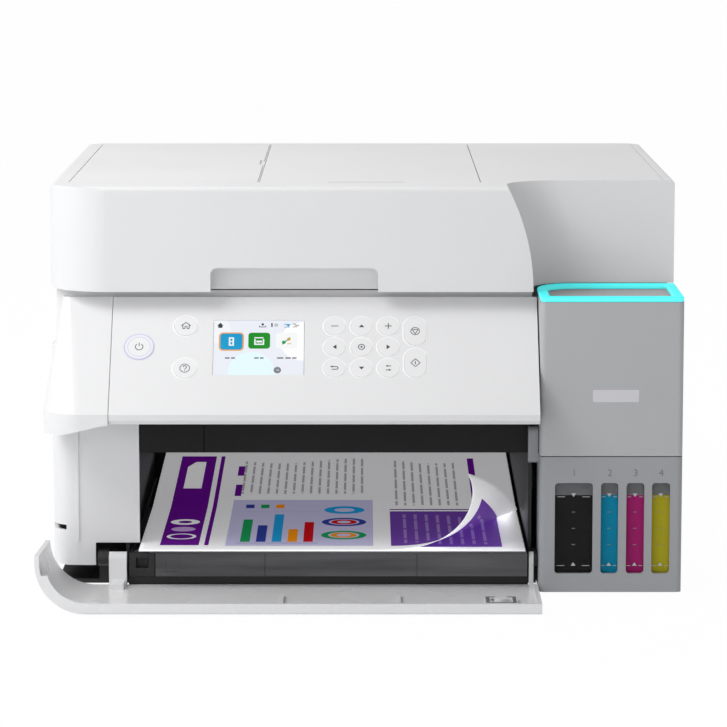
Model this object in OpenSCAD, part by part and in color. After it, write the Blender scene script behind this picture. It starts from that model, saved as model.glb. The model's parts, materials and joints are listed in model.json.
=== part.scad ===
// Ink tank printer with flatbed scanner, document feeder and front paper cassette.
// Millimetres, +Z up, front towards -Y. Each module works in front-face places, where Y = 0 is the
// lid's front face, and in_place() then puts the middle of the footprint at the origin.

/* [Body] */
// Width of the lower body
body_w = 357.4; // [350:0.1:380]
// Depth from the lid's front face to its back
body_d = 308; // [300:1:340]
// Gap between the floor and the underside of the chassis
foot_h = 3; // [2:0.5:6]
// Wall of the white covers
cover_t = 2.6; // [2:0.1:3.5]
// Height of the side covers, up to the scanner joint
side_top = 139; // [137:1:150]

/* [Lid] */
// Width of the document cover
lid_w = 356.4; // [350:0.1:378]
// Height of the document cover
lid_h = 58.9; // [50:0.1:75]
// Radius of the front left corner in plan
lid_corner = 33; // [20:1:40]
// Distance from the scoop's axis to the edge of the front face
scoop_r = 126; // [115:1:130]
// How far the scooped block stands behind the front face
scoop_depth = 44; // [40:1:50]
// Fillet between the front face and the scooped block
scoop_fillet = 26; // [15:1:30]
// Distance of the top panels behind the front face
panel_set = 33.5; // [28:0.5:38]
// Left edge of the document flap
flap_l = -59.8; // [-70:0.1:-50]
// Right edge of the document flap
flap_r = 67; // [55:0.1:80]

/* [Scanner] */
// Height of the scanner bed
bed_h = 30; // [28:1:36]
// Width of the glass
glass_w = 304; // [297:1:310]
// Depth of the glass
glass_d = 222; // [216:1:230]

/* [Control panel] */
// Left seam of the panel
panel_l = -141.3; // [-150:0.1:-135]
// Right edge of the panel
panel_r = 97.9; // [90:0.1:98]
// Lean of the panel from vertical, in degrees
panel_lean = 40.6; // [35:0.1:45]
// Length of the leaning face
panel_len = 78.3; // [72:0.1:84]
// Diameter of the keypad's round buttons
key_d = 12.05; // [10:0.05:13]
// Spacing of the keypad's buttons across
key_pitch = 15.05; // [14:0.05:16]
// Spacing of the keypad's buttons up the face
key_rise = 13.95; // [13.5:0.05:15]
// Width of the screen
lcd_w = 50.7; // [45:0.1:60]
// Height of the screen
lcd_h = 36.2; // [30:0.1:40]

/* [Ink tank] */
// Left side of the tank unit
tank_l = 98.7; // [98.7:0.1:105]
// Distance of the tank unit's front from the lid's front face
tank_front = 22; // [18:0.5:26]
// Height of the seam between housing and cover
tank_seam = 80.3; // [76:0.1:86]
// Height of the tank unit
tank_top = 170.3; // [160:0.1:170.3]
// Wall of the tank unit
tank_t = 2.4; // [2:0.1:3]
// Height of the windows
window_h = 51.7; // [40:0.1:58]
// Height of the ink over the windows' bottom
ink_level = 44.3; // [10:0.1:48]

/* [Front cover] */
// Length from the cover's pivot line to its front edge
cover_reach = 69; // [60:0.5:72]
// Thickness of the front cover
cover_skin = 2.6; // [2:0.1:3]
// Height of the rim around the cover
cover_rim = 3.4; // [2:0.1:4]
// Radius of the end that wraps round the body's corner
wrap_r = 28.5; // [24:0.5:32]

/* [Paper] */
// Width of the paper
paper_w = 216; // [210:1:217]
// Length of the paper
paper_l = 279; // [270:1:290]
// Middle of the paper path from the middle of the body
path_x = -19.9; // [-21:0.1:-18]
// Height of the cassette
cassette_h = 13.5; // [12:0.5:15]
// Depth of the cassette
cassette_d = 243; // [230:1:248]
// Height of the top of the output tray
stack_z = 25.4; // [25:0.1:27]

/* [Mechanism] */
// Radius of the feed roller
feed_r = 6; // [5:0.5:7]
// Radius of the exit roller
exit_r = 4.5; // [3.5:0.5:5.5]
// Height of the platen's ribs
platen_z = 77; // [76:0.5:79]
// Width of the print carriage
carriage_w = 64; // [55:1:68]

/* [Hidden] */
$fn = 64;

white = "#e6e8e8";
tank_grey = "#9b9c9f";
black = "#1d1d1f";
dark = "#2b2c2e";
steel = "#b9bcc0";

gap = 0.4;                          // between parts that move past each other
seam = 0.25;                        // between covers that meet
run = 0.05;                         // radial clearance of a pin in its hole
pin_r = 2;                          // hinge pins
cut = 1;                            // how far a cutter passes a face

body_l = -body_w / 2 + 2.1;         // left side cover's outer face
body_r = body_w / 2 - 2.7;          // right side cover's outer face
lid_x = lid_w / 2;
bed_z = side_top + 1;               // underside of the scanner bed
bed_top = bed_z + bed_h - 0.5;
lid_z = bed_top + 0.9;              // underside of the lid's rim
lid_top = lid_z + lid_h;
body_back = body_d - 4;             // outer face of the rear cover
tank_r = body_w / 2;
tank_back = scoop_depth - 1.4;      // back edge of the tank cover
pivot_y = -6;                       // front cover's pivot line
pivot_z = 19;
cover_z = 1.5;                      // underside of the open front cover
cover_l = -180;
cover_r = 98;
y_mid = (body_d + pivot_y - cover_reach) / 2;

// Shared shapes

module in_place() translate([0, -y_mid, 0]) children();

// block between two limits on each axis
module block(x, y, z) translate([x[0], y[0], z[0]]) cube([x[1] - x[0], y[1] - y[0], z[1] - z[0]]);

// cylinder along X, Y or Z between two limits
module rod_x(x, y, z, r) translate([x[0], y, z]) rotate([0, 90, 0]) cylinder(h = x[1] - x[0], r = r);
module rod_y(x, y, z, r) translate([x, y[0], z]) rotate([-90, 0, 0]) cylinder(h = y[1] - y[0], r = r);
module rod_z(x, y, z, r) translate([x, y, z[0]]) cylinder(h = z[1] - z[0], r = r);

// 2D profile in (Y, Z) run along X, or in (X, Z) run along Y
module along_x(x) translate([x[0], 0, 0]) rotate([90, 0, 90]) linear_extrude(x[1] - x[0]) children();
module along_y(y) translate([0, y[1], 0]) rotate([90, 0, 0]) linear_extrude(y[1] - y[0]) children();
module along_z(z) translate([0, 0, z[0]]) linear_extrude(z[1] - z[0]) children();

module corner_cut(r) if (r > 0) difference() {
  translate([-cut, -cut]) square(r + cut);
  translate([r, r]) circle(r);
}

// rectangle between two limits with its own radius at each corner, anticlockwise from low left
module rounded(x, y, r) difference() {
  translate([x[0], y[0]]) square([x[1] - x[0], y[1] - y[0]]);
  translate([x[0], y[0]]) corner_cut(r[0]);
  translate([x[1], y[0]]) rotate(90) corner_cut(r[1]);
  translate([x[1], y[1]]) rotate(180) corner_cut(r[2]);
  translate([x[0], y[1]]) rotate(270) corner_cut(r[3]);
}

// Lid

scoop_x = -30.4;                    // the scoop's axis runs front to back
flap_t = 3;                         // document flap and feeder cover
feeder_l = -168;                    // left edge of the feeder cover
panel_end = body_d - 13;            // rear edge of the top panels
flap_z = lid_top - flap_t;
tray_z = lid_top - 16;              // document tray's floor
feeder_z = lid_top - 30;            // floor under the feeder cover
handle = [-86.1, 8.2];              // finger recess in the front face
handle_h = 13.5;
handle_d = 14;
edge_r = 2.2;                       // rounding of the lid's top edges
top_pin_r = 0.8;                    // pins of the flap and the feeder cover
top_pin_in = 1.95;
top_pin_drop = 1.3;
top_seam = 0.6;

// everything in front of the scooped block, a body of revolution
module scoop(extra = 0) intersection() {
  translate([scoop_x, 0, lid_z]) rotate([-90, 0, 0]) rotate_extrude($fn = 128) difference() {
    translate([scoop_r - extra, -cut]) square([lid_w, scoop_depth + cut + extra]);
    difference() {
      translate([scoop_r - extra - cut, scoop_depth - scoop_fillet + extra])
        square([scoop_fillet + cut, scoop_fillet + cut]);
      translate([scoop_r + scoop_fillet - extra, scoop_depth - scoop_fillet + extra]) circle(scoop_fillet);
    }
  }
  block([40, lid_w], [-2 * cut, scoop_depth + cut + extra], [lid_z - lid_h, lid_top + lid_h]);
}

module lid_form(inset, low, high) difference() {
  intersection() {
    along_z([low, high]) rounded([-lid_x + inset, lid_x - inset], [inset, body_d - inset],
      [lid_corner - inset, 2, 17 - inset, 19 - inset]);
    along_x([-lid_x, lid_x]) rounded([inset, body_d - inset], [lid_z - lid_h, high],
        [0, 0, edge_r, edge_r]);
    along_y([-cut, body_d + cut])
      rounded([-lid_x + inset, lid_x - inset], [lid_z - lid_h, high], [0, 0, edge_r, edge_r + 1]);
  }
  scoop(inset);
}

module feeder_well(z) block([feeder_l, flap_l - seam], [panel_set, panel_end], z);
module flap_well(z) block([flap_l + seam, flap_r], [panel_set, panel_end + 2], z);

module lid_shell() in_place() color(white) {
  lid_bosses();
  lid_body();
}

module lid_body() difference() {
  lid_form(0, lid_z, lid_top);
  // hollow underside, below the feeder and below the document tray
  intersection() {
    lid_form(cover_t, lid_z - cut, feeder_z - cover_t);
    block([-lid_x, lid_x], [handle_d + cover_t, body_d], [lid_z - cut, lid_top]);
  }
  intersection() {
    lid_form(cover_t, lid_z, tray_z - cover_t);
    block([flap_l + 2 * cover_t, lid_x], [handle_d + cover_t, body_d], [lid_z, lid_top]);
  }
  feeder_well([feeder_z, lid_top + cut]);
  flap_well([tray_z, lid_top + cut]);
  // slot where documents pass from the tray into the feeder
  block([flap_l - 2, flap_l + 2], [panel_set + 24, panel_end - 24], [tray_z, tray_z + 8]);
  // groove of the fixed right panel, and the flap's finger slot
  block([lid_x - 6.6, lid_x - 6], [scoop_depth + 2, panel_end], [lid_top - 0.8, lid_top + cut]);
  block([-20.2, 23.7], [panel_set - 1.2, panel_set + cut], [lid_top - 5, lid_top + cut]);
  // holes of the flap's and the feeder cover's end pins
  rod_y(flap_r - top_pin_in, [panel_set - 2, panel_end + 4], lid_top - top_pin_drop, top_pin_r + run);
  rod_y(feeder_l + top_pin_in, [panel_set - 2, panel_end + 2], lid_top - top_pin_drop, top_pin_r + run);
  // finger recess
  along_y([-cut, handle_d]) rounded(handle, [lid_z - cut, lid_z + handle_h], [0, 0, 4, 4]);
  // notches that let the hinges' leaves pass as the lid swings up
  for (x = hinge_x) block([x - 11, x + 11], [body_d - 2 * cover_t, body_d + cut], [lid_z - cut, lid_z + 8]);
}

// bosses that hang the lid on its hinge pins
module lid_bosses() for (x = hinge_x) difference() {
  union() {
    block([x - 4.5, x + 4.5], [hinge_y - 3.5, hinge_y + 3.5],
        [hinge_z, (x < flap_l ? feeder_z : tray_z) - 0.5]);
    block([x - 4.5, x + 4.5], [hinge_y, body_d - 1.2], [lid_z + 9, lid_z + 20]);
    rod_x([x - 4.5, x + 4.5], hinge_y, hinge_z, 3.5);
  }
  rod_x([x - 6, x + 6], hinge_y, hinge_z, pin_r + run);
}

module adf_cover() in_place() color(white) {
  difference() {
    block([feeder_l + top_seam, flap_l - seam - gap], [panel_set + gap, panel_end - gap],
        [flap_z, lid_top]);
    // finger notch beside the flap
    block([flap_l - 3, flap_l], [150, 180], [lid_top - 1, lid_top + cut]);
  }
  // skirt and pressure ribs over the rollers
  for (y = [panel_set + 8, panel_end - 11])
      block([feeder_l + 12, flap_l - 4], [y, y + 3], [flap_z - 6, flap_z + 0.1]);
  for (x = [feeder_l + 24:14:flap_l - 12])
    block([x, x + 1.6], [panel_set + 30, panel_end - 30], [flap_z - 4, flap_z + 0.1]);
  rod_y(feeder_l + top_pin_in, [panel_set - 1.4, panel_end + 1.4], lid_top - top_pin_drop, top_pin_r);
}

module document_flap() in_place() color(white) {
  difference() {
    block([flap_l + seam + gap, flap_r - top_seam], [panel_set + gap, panel_end + 2 - gap],
        [flap_z, lid_top]);
    // bevel under the finger slot
    block([-20.2, 23.7], [panel_set, panel_set + 2.2], [flap_z - cut, lid_top - 1.2]);
  }
  for (y = [panel_set + 40:36:panel_end - 30])
    block([flap_l + 8, flap_r - 12], [y, y + 1.6], [flap_z - 2.4, flap_z + 0.1]);
  rod_y(flap_r - top_pin_in, [panel_set - 1.4, panel_end + 3.4], lid_top - top_pin_drop, top_pin_r);
}

// Document feeder

roller_x = flap_l - 26;
roller_z = feeder_z + 15;

module pickup_roller() in_place() color(dark) {
  rod_y(roller_x, [panel_set + 12, panel_end - 12], roller_z, 3);
  for (y = [140, 176]) rod_y(roller_x, [y, y + 22], roller_z, 8);
  rod_y(roller_x, [panel_set + 15, panel_set + 21], roller_z, 9);
}

module adf_frame() in_place() color(black) difference() {
  union() {
    block([feeder_l + 5, flap_l - 4], [panel_set + 4, panel_end - 4], [feeder_z, feeder_z + 2]);
    for (y = [panel_set + 7, panel_end - 11])
        block([roller_x - 8, roller_x + 8], [y, y + 4], [feeder_z, roller_z + 5]);
    // paper guide that turns the sheet over at the left
    along_y([panel_set + 24, panel_end - 24]) difference() {
      translate([feeder_l + 22, feeder_z + 2]) square([20, 11]);
      translate([feeder_l + 42, feeder_z + 13]) circle(9);
    }
    for (y = [panel_set + 32:18:panel_end - 32])
        block([feeder_l + 44, roller_x - 10], [y, y + 1.6], [feeder_z + 2, feeder_z + 5]);
  }
  rod_y(roller_x, [panel_set, panel_end], roller_z, 3 + run);
}

module platen_pad() in_place() color("#f4f4f2")
  along_z([bed_top + 0.3, lid_z + 4])
      rounded([glass_c - 150, glass_c + 150], [glass_y - 108, glass_y + 108], [3, 3, 3, 3]);

hinge_x = [-112, 112];
hinge_y = body_d - 8;               // lid pivot
hinge_z = lid_z + 5.6;
leaf_w = 9;                         // half width of a hinge
leaf_y = [hinge_y - 8, hinge_y];
leaf_z = bed_z + 5;

module lid_hinges() in_place() color(dark) for (x = hinge_x) {
  difference() {
    union() {
      block([x - leaf_w, x + leaf_w], leaf_y, [leaf_z, hinge_z - 4.4]);
      for (s = [-1, 1]) rod_x([x + s * 7 - 2, x + s * 7 + 2], hinge_y, hinge_z, 4);
      for (s = [-1, 1]) block([x + s * 7 - 2, x + s * 7 + 2], [hinge_y - 4, hinge_y],
          [hinge_z - 5, hinge_z]);
    }
    // lightening pocket in the leaf's back
    block([x - 5, x + 5], [hinge_y - 3, hinge_y + cut], [leaf_z + 4, hinge_z - 9]);
  }
  rod_x([x - 6, x + 6], hinge_y, hinge_z, pin_r);
}

// Scanner

glass_c = -6;                       // middle of the glass
glass_y = 163;
glass_t = 3;
bed_front = 16;
bed_wall = 2.6;
ledge_y = body_d - 19.5;            // behind this the bed is low, clear of the lid's swing
swing_y = body_d - 12;              // pivot of the scanner unit
swing_z = bed_z + 6;
swing_x = [-140, 140];

module bed_outline(inset) difference() {
  rounded([body_l + 1 + inset, body_r - 1 - inset], [bed_front + inset, body_back - 2 - inset],
      [20, 2, 12, 12]);
  // clear of the tank unit
  translate([tank_l - 3.2 - inset, 0]) square([lid_w, scoop_depth + 4 + inset]);
}

module scanner_bed() in_place() color(white) {
  difference() {
    union() {
      difference() {
        along_z([bed_z, bed_top]) bed_outline(0);
        along_z([bed_z + 3, bed_top - 3]) intersection() {
          bed_outline(bed_wall);
          translate([-lid_w, 0]) square([2 * lid_w, ledge_y - bed_wall]);
        }
      }
      for (x = hinge_x) block([x - 13, x + 13], [ledge_y - 4, body_back - 2], [bed_z + 0.5, bed_top - 6]);
    }
    // window under the glass, with a ledge that carries it
    block([glass_c - glass_w / 2 + 5, glass_c + glass_w / 2 - 5],
      [glass_y - glass_d / 2 + 5, glass_y + glass_d / 2 - 5], [bed_top - 4, bed_top + cut]);
    block([glass_c - glass_w / 2 - 0.2, glass_c + glass_w / 2 + 0.2],
      [glass_y - glass_d / 2 - 0.2, glass_y + glass_d / 2 + 0.2], [bed_top - 2, bed_top + cut]);
    // low rear ledge and the hinges' sockets
    block([-lid_w, lid_w], [ledge_y, body_d], [bed_top - 6, bed_top + cut]);
    for (x = hinge_x) block([x - leaf_w - gap, x + leaf_w + gap], [leaf_y[0] - gap, leaf_y[1] + gap],
      [leaf_z - gap, bed_top + cut]);
    // seats of the swing pins
    for (x = swing_x) block([x - 7, x + 7], [swing_y - 7, body_d], [bed_z - cut, swing_z + 7]);
  }
  for (x = swing_x) {
    rod_x([x - 7.1, x + 7.1], swing_y, swing_z, pin_r);
  }
  scan_rail();
}

rail_y = glass_y;
module scan_rail() rod_x([body_l + 2, body_r - 2], rail_y, bed_z + 8, 2.5);

module scanner_glass() in_place() color([0.75, 0.85, 0.88, 0.35])
    block([glass_c - glass_w / 2, glass_c + glass_w / 2],
  [glass_y - glass_d / 2, glass_y + glass_d / 2], [bed_top - 2, bed_top - 2 + glass_t - 1.1]);

bar_x = glass_c - glass_w / 2 + 16;
module scan_bar() in_place() color(black) difference() {
  union() {
    block([bar_x - 11, bar_x + 11], [glass_y - glass_d / 2 + 3, glass_y + glass_d / 2 - 3],
        [bed_z + 12, bed_top - 5.4]);
    block([bar_x - 11, bar_x + 11], [rail_y - 6, rail_y + 6], [bed_z + 4, bed_z + 13]);
  }
  rod_x([bar_x - 12, bar_x + 12], rail_y, bed_z + 8, 2.5 + run);
  // lens slot and lamp slot
  for (s = [-4, 4]) block([bar_x + s - 1, bar_x + s + 1], [glass_y - 105, glass_y + 105],
      [bed_top - 8, bed_top]);
}

// Control panel

top_y = 11;                         // top edge of the leaning face
top_z = bed_z + 26.2;
face_t = 2.5;
bottom_y = top_y - panel_len * sin(panel_lean);
bottom_z = top_z - panel_len * cos(panel_lean);
lip_h = 5.7;
lip_d = 14;
tilt_y = top_y + 2.1;               // the panel's pivot
tilt_z = top_z - 5.8;
tilt_r = 1.5;
lug_r = 2.5;
tilt_up = (tilt_y - bottom_y) * sin(panel_lean) + (tilt_z - bottom_z) * cos(panel_lean);
tilt_deep = (tilt_y - bottom_y) * cos(panel_lean) - (tilt_z - bottom_z) * sin(panel_lean);
lug_x = [panel_l + 4.4, panel_r - 6];
lug_t = 3;

// places things on the leaning face: X, then distance up the face from its bottom edge
module on_face(x, up, deep = 0)
    translate([x, bottom_y + up * sin(panel_lean), bottom_z + up * cos(panel_lean)])
  rotate([90 - panel_lean, 0, 0]) translate([0, 0, -deep]) children();

// slab behind the face between two depths
module face_slab(x, up, deep) on_face(0, 0, deep[1]) block(x, up, [0, deep[1] - deep[0]]);

key_x = -1.1;                       // middle of the keypad
key_up = 44.6;
function key_place(column, row) = [key_x + column * key_pitch, key_up + row * key_rise];
side_key_x = 29;
start_up = 34.1;
stop_up = 55.1;
side_key = [12.3, 18.8];
power_at = [-125.7, 44.7];
power_d = 16;
menu_x = -99.8;
home_up = 58.7;
help_up = 30.5;
menu_d = 13;
lcd_at = [-58.75, 44.5];
key_gap = 0.3;
board_deep = 7;                     // circuit board behind the face
back_deep = 13;

// upright shape with round ends, a circle where its height is its width
module stadium(w, h) {
  if (h > w) square([w, h - w], center = true);
  for (s = [-1, 1]) translate([0, s * (h - w) / 2]) circle(w / 2);
}

module key_outlines(extra) {
  for (column = [-1:1]) for (row = [-1:1]) translate(key_place(column, row)) circle(key_d / 2 + extra);
  for (up = [start_up, stop_up]) translate([side_key_x, up])
      stadium(side_key[0] + 2 * extra, side_key[1] + 2 * extra);
  translate(power_at) circle(power_d / 2 + extra);
  for (up = [home_up, help_up]) translate([menu_x, up]) circle(menu_d / 2 + extra);
}

module panel_face() in_place() color(white) difference() {
  union() {
    face_slab([panel_l, panel_r], [0, panel_len], [0, face_t]);
    // lip that turns back under the face
    along_x([panel_l, panel_r]) polygon([
      [bottom_y, bottom_z], [bottom_y + 0.5, bottom_z - lip_h + 2.4], [bottom_y + 3, bottom_z - lip_h],
      [bottom_y + lip_d, bottom_z - lip_h + 0.6], [bottom_y + lip_d, bottom_z - lip_h + 2.6],
      [bottom_y + 4.4, bottom_z - lip_h + 2.4], [bottom_y + 3.2, bottom_z]
    ]);
    // end walls
    for (x = [panel_l, panel_r - cover_t])
        face_slab([x, x + cover_t], [2, panel_len - 12], [face_t - 0.5, 9]);
    for (x = lug_x) for (s = [-1, 1]) ear(x + s * (lug_t / 2 + gap + 1), tilt_r + run);
  }
  on_face(0, 0, 2 * face_t) linear_extrude(3 * face_t) key_outlines(key_gap);
  face_slab([lcd_at[0] - lcd_w / 2 - seam, lcd_at[0] + lcd_w / 2 + seam],
    [lcd_at[1] - lcd_h / 2 - seam, lcd_at[1] + lcd_h / 2 + seam], [-cut, face_t + cut]);
}

// hinge eye on the panel
module ear(x, bore) difference() {
  face_slab([x - 1, x + 1], [tilt_up - 4, tilt_up + 1.6], [face_t - 0.5, tilt_deep + 1.9]);
  rod_x([x - 2, x + 2], tilt_y, tilt_z, bore);
}

back_x = [panel_l + 6.7, panel_r - 12];
back_up = [12, panel_len - 10.5];

module panel_back() in_place() color(black) {
  difference() {
    face_slab(back_x, back_up, [face_t, back_deep]);
    face_slab([back_x[0] + 2, back_x[1] - 2], [back_up[0] + 2, back_up[1] - 2], [face_t - cut, board_deep]);
    on_face(0, 0, board_deep) linear_extrude(board_deep) key_outlines(1.3);
  }
  // a switch under each button
  for (column = [-1:1]) for (row = [-1:1]) switch(key_place(column, row));
  for (up = [start_up, stop_up]) switch([side_key_x, up]);
  for (up = [home_up, help_up]) switch([menu_x, up]);
  switch(power_at);
  // frame that holds the screen
  difference() {
    face_slab([lcd_at[0] - lcd_w / 2 - 2, lcd_at[0] + lcd_w / 2 + 2],
      [lcd_at[1] - lcd_h / 2 - 1.6, lcd_at[1] + lcd_h / 2 + 1.6], [face_t + 1.4, board_deep]);
    face_slab([lcd_at[0] - lcd_w / 2 - cut, lcd_at[0] + lcd_w / 2 + cut],
      [lcd_at[1] - lcd_h / 2 - 0.6, lcd_at[1] + lcd_h / 2 + 0.6], [face_t, board_deep - 2]);
  }
}

module switch(at) on_face(at[0], at[1], board_deep) cylinder(h = 0.7, r = 2.4);

module lcd() in_place() color("#dfe9ef")
  face_slab([lcd_at[0] - lcd_w / 2, lcd_at[0] + lcd_w / 2],
      [lcd_at[1] - lcd_h / 2, lcd_at[1] + lcd_h / 2], [0.35, face_t + 2.4]);

// cap through the face, flange behind it and a stem over its switch
module key(at, w, h) in_place() color(white) on_face(at[0], at[1], 0) {
  translate([0, 0, -face_t - 1]) linear_extrude(face_t + 1.3) stadium(w, h);
  translate([0, 0, -face_t - 1.3]) linear_extrude(1) stadium(w + 1.6, h + 1.6);
  translate([0, 0, -board_deep + 1.8]) cylinder(h = board_deep - face_t - 2, r = 2);
}
module round_key(column, row) key(key_place(column, row), key_d, key_d);
module side_key(up) key([side_key_x, up], side_key[0], side_key[1]);
module menu_key(up) key([menu_x, up], menu_d, menu_d);

module button_power() key(power_at, power_d, power_d);
module button_home() menu_key(home_up);
module button_help() menu_key(help_up);
module button_minus() round_key(-1, 1);
module button_up() round_key(0, 1);
module button_plus() round_key(1, 1);
module button_left() round_key(-1, 0);
module button_ok() round_key(0, 0);
module button_right() round_key(1, 0);
module button_back() round_key(-1, -1);
module button_down() round_key(0, -1);
module button_menu() round_key(1, -1);
module button_stop() side_key(stop_up);
module button_start() side_key(start_up);

// Left corner

cheek_r = panel_l - seam;
cheek_top_x = panel_l - 29.1;
cheek_low_x = cover_l + 1;
cheek_back = bed_front - gap;

module cheek_slice(left, front, z, r, inset) along_z([z, z + 0.1])
  rounded([left + inset, cheek_r - inset], [front + inset, cheek_back + 2 * inset], [r, 0.5, 0, 0]);

// the leaning face carried round the corner, its radius growing towards the bottom
module cheek_loft(inset) {
  hull($fn = 48) {
    cheek_slice(cheek_top_x, top_y, top_z - 0.1 - 2 * inset, 5, inset);
    cheek_slice(cheek_low_x, bottom_y, bottom_z - inset, 22, inset);
  }
  along_z([bottom_z - 14, bottom_z])
    rounded([cheek_low_x + inset, cheek_r - inset], [bottom_y + inset, cheek_back + 2 * inset],
        [22, 0.5, 0, 0]);
}

module left_cheek() in_place() color(white) difference() {
  cheek_loft(0);
  cheek_loft(cover_t);
  // the side cover stands behind the lower part
  block([-lid_w, 0], [-gap, body_d], [0, side_top + gap]);
  block([-lid_w, 0], [cheek_back - 0.01, body_d], [0, lid_top]);
  // lower edge falls away to the left
  along_y([bottom_y - cut, body_d])
      polygon([[cheek_r + cut, bottom_z - lip_h], [cheek_r - 6, bottom_z - lip_h - 1.2],
    [cheek_low_x + 9, bottom_z - 12.2], [cheek_low_x - cut, bottom_z - 12.2], [cheek_low_x - cut, 0],
        [cheek_r + cut, 0]]);
}

post_r = 14;                        // front corner of the side cover
post_step = 100;
post_in = -127;                     // right edge of the front post
cover_low = 14;                     // lower edge of the side covers

module left_cover() in_place() color(white) {
  difference() {
    along_z([cover_low, side_top]) difference() {
      rounded([body_l, 0], [0, body_back - cover_t - gap], [post_r, 0, 0, 0]);
      rounded([body_l + cover_t, cut], [cover_t, body_d], [post_r - cover_t, 0, 0, 0]);
      translate([post_in, -cut]) square([lid_w, body_d]);
    }
    // notch and guide holes beside the front cover's end
    block([body_l - cut, body_l + 8], [-cut, 12], [34, 37]);
    rod_x([body_l - cut, body_l + 6], 20, 33, 2);
    block([post_in - 25, post_in + cut], [-cut, cover_t + cut], [cover_low - cut, pivot_z + 8]);
    // narrower where the control panel covers it
    block([bay_x[0] - 4, post_in + cut], [-cut, cover_t + cut], [post_step, side_top + cut]);
  }
  // step on the front face
  block([post_in - 35.6, post_in - 34.2], [-0.8, 0.4], [cover_low + 14, bottom_z - 14]);
  // ribs that stiffen the wall inside
  for (y = [60:60:body_back - 60])
      block([body_l + cover_t - 0.2, body_l + cover_t + 3], [y, y + 1.6], [cover_low + 2, side_top - 6]);
}

module right_cover() in_place() color(white) difference() {
  along_z([cover_low, side_top]) difference() {
    translate([0, scoop_depth + 2]) square([body_r, body_back - cover_t - gap - scoop_depth - 2]);
    translate([-cut, scoop_depth + 2 + cover_t]) square([body_r - cover_t + cut, body_d]);
    translate([-cut, -cut]) square([tank_l + cut, body_d]);
  }
  // ink tubes leave the tank here
  tube_hole([scoop_depth, scoop_depth + 2 * cover_t + cut]);
}

// Ink tank unit

window_z = [13.6, 13.6 + window_h];
windows = [[107.3, 128.6], [133.1, 142.9], [147.4, 157.5], [161.7, 171.9]];   // black is widest
tank_z = [9, tank_seam - 2];
shell_t = 1.2;                      // wall of an ink tank
tank_y = [-tank_front + tank_t + 0.2, tank_back - 4];
hood_y = 22;                        // pivot of the tank cover
hood_z = tank_top - 9.3;
hood_r = 23.2;                      // round cheek about the pivot
hood_post = 1.9;                    // thickness of the posts beside the hood
corner_r = 22;                      // rear left corner of the hood
band_w = 5.5;
band_h = 3;
inks = ["#262626", "#00728f", "#8c2060", "#8f8629"];
fill_z = tank_seam + 8;             // tops of the filler necks

module tank_outline(inset, back_r = 0) rounded([tank_l + inset, tank_r - inset],
  [-tank_front + inset, tank_back + 1 - inset], [3 - inset, 3 - inset, 0, back_r - inset]);

module tank_housing() in_place() color(tank_grey) {
  difference() {
    along_z([foot_h, tank_seam - seam]) tank_outline(0);
    along_z([foot_h + tank_t, tank_seam + cut]) tank_outline(tank_t);
    for (w = windows) along_y([-tank_front - cut, -tank_front + tank_t + cut])
        rounded(w, window_z, [2, 2, 2, 2]);
  }
  // walls behind the hood, hollowed round its swing
  difference() {
    along_z([tank_seam - 1, hood_z - 8]) difference() {
      tank_outline(0, corner_r);
      tank_outline(tank_t, corner_r);
      translate([tank_l - cut, -lid_w]) square([lid_w, lid_w + hood_y + gap]);
    }
    rod_x([tank_l - cut, tank_r + cut], hood_y, hood_z, hood_r + 0.7);
    tube_hole([tank_back - 3, tank_back + 3]);
  }
  hinge_post([tank_l + tank_t + gap, tank_l + tank_t + gap + hood_post], -1);
  hinge_post([tank_r - tank_t - gap - hood_post, tank_r - tank_t - gap], 1);
  // side tab
  difference() {
    side_tab();
    block([tank_l - gap, tank_l + cut], [-tank_front, tank_back], [tank_seam - seam, tank_seam + 16]);
  }
}

// post inside the hood with a pin that points outward
module hinge_post(x, side) {
  block(x, [hood_y - 14, hood_y - 0.8], [tank_seam - 1.5, hood_z]);
  block(x, [hood_y - 14, hood_y + 14], [tank_seam - 1.5, hood_z - 30]);
  rod_x(x, hood_y, hood_z, 3.4);
  out = side < 0 ? [x[0] - gap - 1.2, x[0] + 0.2] : [x[1] - 0.2, x[1] + gap + 1.2];
  rod_x(out, hood_y, hood_z, pin_r);
  foot = side < 0 ? [x[0] - gap - 0.2, x[1]] : [x[0], x[1] + gap + 0.2];
  block(foot, [hood_y - 14, hood_y + 14], [tank_seam - 6, tank_seam - 1]);
}

tab_y = [-9, -1];
module side_tab() along_x([tank_l - 5.8, tank_l + 0.2])
    rounded(tab_y, [tank_seam - 6, tank_seam + 14.6], [3, 3, 3, 3]);

module tank_cell(w, inset, z) block([w[0] - 1.6 + inset, w[1] + 1.6 - inset],
    [tank_y[0] + inset, tank_y[1] - inset], z);

module ink_tanks() in_place() color([0.85, 0.86, 0.87, 0.4]) for (w = windows) {
  x = (w[0] + w[1]) / 2;
  difference() {
    union() {
      tank_cell(w, 0, tank_z);
      rod_z(x, 0, [tank_z[1] - 1, fill_z], 3.8);
    }
    tank_cell(w, shell_t, [tank_z[0] + shell_t, tank_z[1] - shell_t]);
    rod_z(x, 0, [tank_z[1] - 3, fill_z + cut], 2.6);
  }
}

module ink_fills() in_place() for (i = [0:3]) color(inks[i])
  tank_cell(windows[i], shell_t + 0.02, [tank_z[0] + shell_t + 0.02, window_z[0] + ink_level]);

module tank_caps() in_place() for (i = [0:3]) {
  x = (windows[i][0] + windows[i][1]) / 2;
  color(inks[i]) {
    rod_z(x, 0, [fill_z + 0.02, fill_z + 3], 4.4);
    rod_z(x, 0, [fill_z - 3, fill_z + 0.2], 2.5);
    block([x - 2.6, x + 2.6], [-13, 0], [fill_z + 1, fill_z + 3]);
  }
}

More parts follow.
